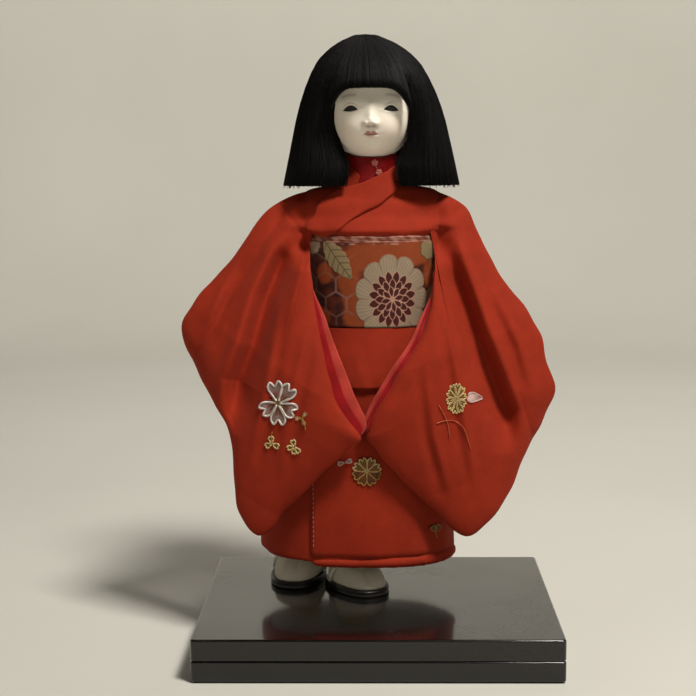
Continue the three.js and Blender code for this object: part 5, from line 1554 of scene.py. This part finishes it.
def sewnMotif(name, petals, threads, surface, body):
    # satin fills in one mesh, rims and threads in another, each place set by the cloth's own depth there;
    # a petal is outline values, rim ink, fill ink and thickness, and a thread points, ink and thickness
    step = np.arange(float(stitches))
    rims = np.stack([petalLine(*petal[:5]) for petal in petals])
    lines = np.concatenate([rims] + [rounded(thread[0], stitches)[None] for thread in threads])
    thick = np.array([petal[7] for petal in petals] + [thread[2] for thread in threads])[:, None]
    thick = thick * (1 + 0.2 * sway(step, [13.0, 7.0], [0.3, 1.9]))
    lift = np.array([0.2] * len(petals) + [0.6] * len(threads))[:, None]
    x, z = np.moveaxis(lines, -1, 0)
    middle = pointsOf(x, surface(x, z) - lift - 0.5 * thick, z)
    tone = np.stack([sewing[petal[5]] for petal in petals] + [sewing[thread[1]] for thread in threads])
    tone = tone[:, None, None] * (0.86 + 0.14 * sway(step, [17.0, 9.0], [0.9, 0.2]))[:, None, None]
    tone = np.broadcast_to(tone, x.shape + (strands, 3))
    uv = np.stack(np.broadcast_arrays(np.arange(strands) * 0.3, step[:, None] * 0.6), -1)
    sewn = {"uv": np.broadcast_to(uv, x.shape + (strands, 2)), "paint": tone}
    gilt = {"gilt": np.full(x.size * strands, 0.6)}
    rimMesh = addTubes(name + "_rims", middle, thick, strands, [0, -1.0, 0], marks=gilt, **sewn)
    dress(rimMesh, blossomThread, body, "brocade")

    share = np.array([0.02, 0.3, 0.6, 0.85, 1.0])[:, None]
    centre = rims.mean(1)[:, None, None]
    flat = centre + (rims[:, None] - centre) * share[..., None]
    x, z = np.moveaxis(flat, -1, 0)
    points = pointsOf(x, surface(x, z) - (0.25 + 0.4 * (1 - share**2)), z)
    root = np.abs(np.linspace(-1, 1, stitches)) ** 1.4 * (0.45 + 0.55 * share)
    fills = [np.broadcast_to(sewing[petal[6]], root.shape + (3,)) for petal in petals]
    tone = np.stack([layOver(fill, 0.85 * root, sewing["brown"]) for fill in fills])
    uv = np.broadcast_to(np.stack(np.broadcast_arrays(5 * share, step * 0.6), -1), flat.shape)
    starts = (np.arange(len(petals)) * root.size)[:, None, None]
    cells = (gridCells(len(share), stitches, True) + starts).reshape(-1, 4)
    sewn = {"uv": uv, "paint": tone, "marks": {"gilt": np.full(x.size, 0.5)}}
    satin = addMesh(name + "_satin", points, [cells], inside=(0, 900, 150), **sewn)
    dress(satin, blossomThread, body, "brocade")


def flower(at, size, turns, half, notch, rim, inside, thick, squash=1.0):
    # petals round a heart, narrowed across by the squash
    spokes = [heading(turn) * [squash, 1] for turn in turns]
    looks = (half, notch, rim, inside, thick)
    return [(at, math.degrees(math.atan2(z, x)), size * math.hypot(x, z), *looks) for x, z in spokes]


def spray(at, near, far, turns, colour, thick):
    # straight threads out of a heart
    places = (near, (near + far) / 2, far)
    return [([at + place * heading(turn) for place in places], colour, thick) for turn in turns]


def onSleeve(sleeve):
    # the depth of a sleeve's front face at a place and height
    def depth(x, z):
        out, up = sleeve["side"] * x, z - shoulder
        return sleeveSkin(sleeve, out, up, outlineShare(sleeve, out, up), True)

    return depth


heart = np.array([-65.1, 147.5])
bigPetals = ((101, 15), (50, 15.5), (-28, 13.5), (-91, 15), (207, 13.5))
petals = [(heart, turn, size, 5.0, 0.24, "silver", "lilac", 0.8) for turn, size in bigPetals]
petals += flower((-69.9, 118.5), 5.0, (100, 205, -25), 1.7, 0.1, "paleGold", "olive", 0.6)
petals += flower((-54.1, 116.4), 5.0, (105, 190, -50, -95), 1.6, 0.1, "paleGold", "olive", 0.6)
petals += flower((-48.6, 137.1), 4.8, (185, 55, -70), 1.1, 0.1, "gold", "rose", 0.4)
threads = spray(heart, 1.5, 8.0, range(0, 360, 20), "brown", 0.3)
threads += spray(heart, 0.5, 5.0, range(10, 360, 45), "gold", 0.3)
threads += [([(-69.9, 119), (-70.3, 124), (-69.5, 127)], "gold", 0.35)]
threads += [([(-48.6, 137), (-46.6, 132.5), (-46.2, 129)], "gold", 0.35)]
sewnMotif("left_sleeve_blossom", petals, threads, onSleeve(sleeves["left"]), "left_arm")

heart = np.array([59.0, 148.8])
petals = flower(heart, 10.8, range(10, 360, 36), 1.9, 0.2, "paleGold", "olive", 0.5, 0.64)
petals += [((79.0, 146.9), 167, 12.0, 3.2, 0.0, "rose", "rose", 0.6)]
threads = spray(heart, 0.4, 4.5, range(0, 360, 40), "paleGold", 0.35)
threads += [([(46.7, 144.9), (51.1, 136.4), (53.0, 130.9), (54.5, 120.5)], "coral", 0.3)]
threads += [([(45.1, 132.2), (50.4, 133.6), (56.6, 133.3), (63.5, 128.8), (69.4, 112.4)], "coral", 0.3)]
sewnMotif("right_sleeve_blossom", petals, threads, onSleeve(sleeves["right"]), "right_arm")

heart = np.array([-3.9, 95.1])
petals = flower(heart, 10.2, (20, 65, 110, 155), 2.6, 0.2, "paleGold", "olive", 0.5)
petals += flower(heart, 10.2, (200, 245, 295, 340), 3.0, 0.12, "gold", "umber", 0.45)
petals += flower((-19.5, 101.4), 5.0, (20, 190), 1.4, 0.1, "rose", "lilac", 0.4)
petals += flower((45.7, 47.5), 5.4, (60, 120), 1.9, 0.05, "gold", "umber", 0.4)
threads = spray(heart, 0.4, 4.5, range(0, 360, 45), "paleGold", 0.3)
threads += [([(45.7, 48), (46, 45), (46.8, 43)], "gold", 0.35)]
for z in np.arange(40.0, 98.0, 3.4):  # stitches along the panel's free edge
    threads += [([(-42.3, z + 1.7), (-42.4, z + 0.8), (-42.5, z)], "rose", 0.16)]
sewnMotif("front_panel_blossom", petals, threads, lambda x, z: frontY(x, z, panel["grow"] + 0.5), "doll")

petals = flower((2.6, 312.4), 2.3, range(18, 360, 72), 0.75, 0.2, "blush", "blush", 0.15)
petals += flower((5.6, 305.6), 2.3, range(54, 360, 72), 0.75, 0.2, "blush", "blush", 0.15)
threads = [([(3.2, 310.0), (3.9, 308.9), (4.8, 308.0)], "blush", 0.16)]
sewnMotif("under_collar_blossom", petals, threads, lambda x, z: frontY(x, z, neckband["grow"] + 1.3), "doll")
print("embroidery made")
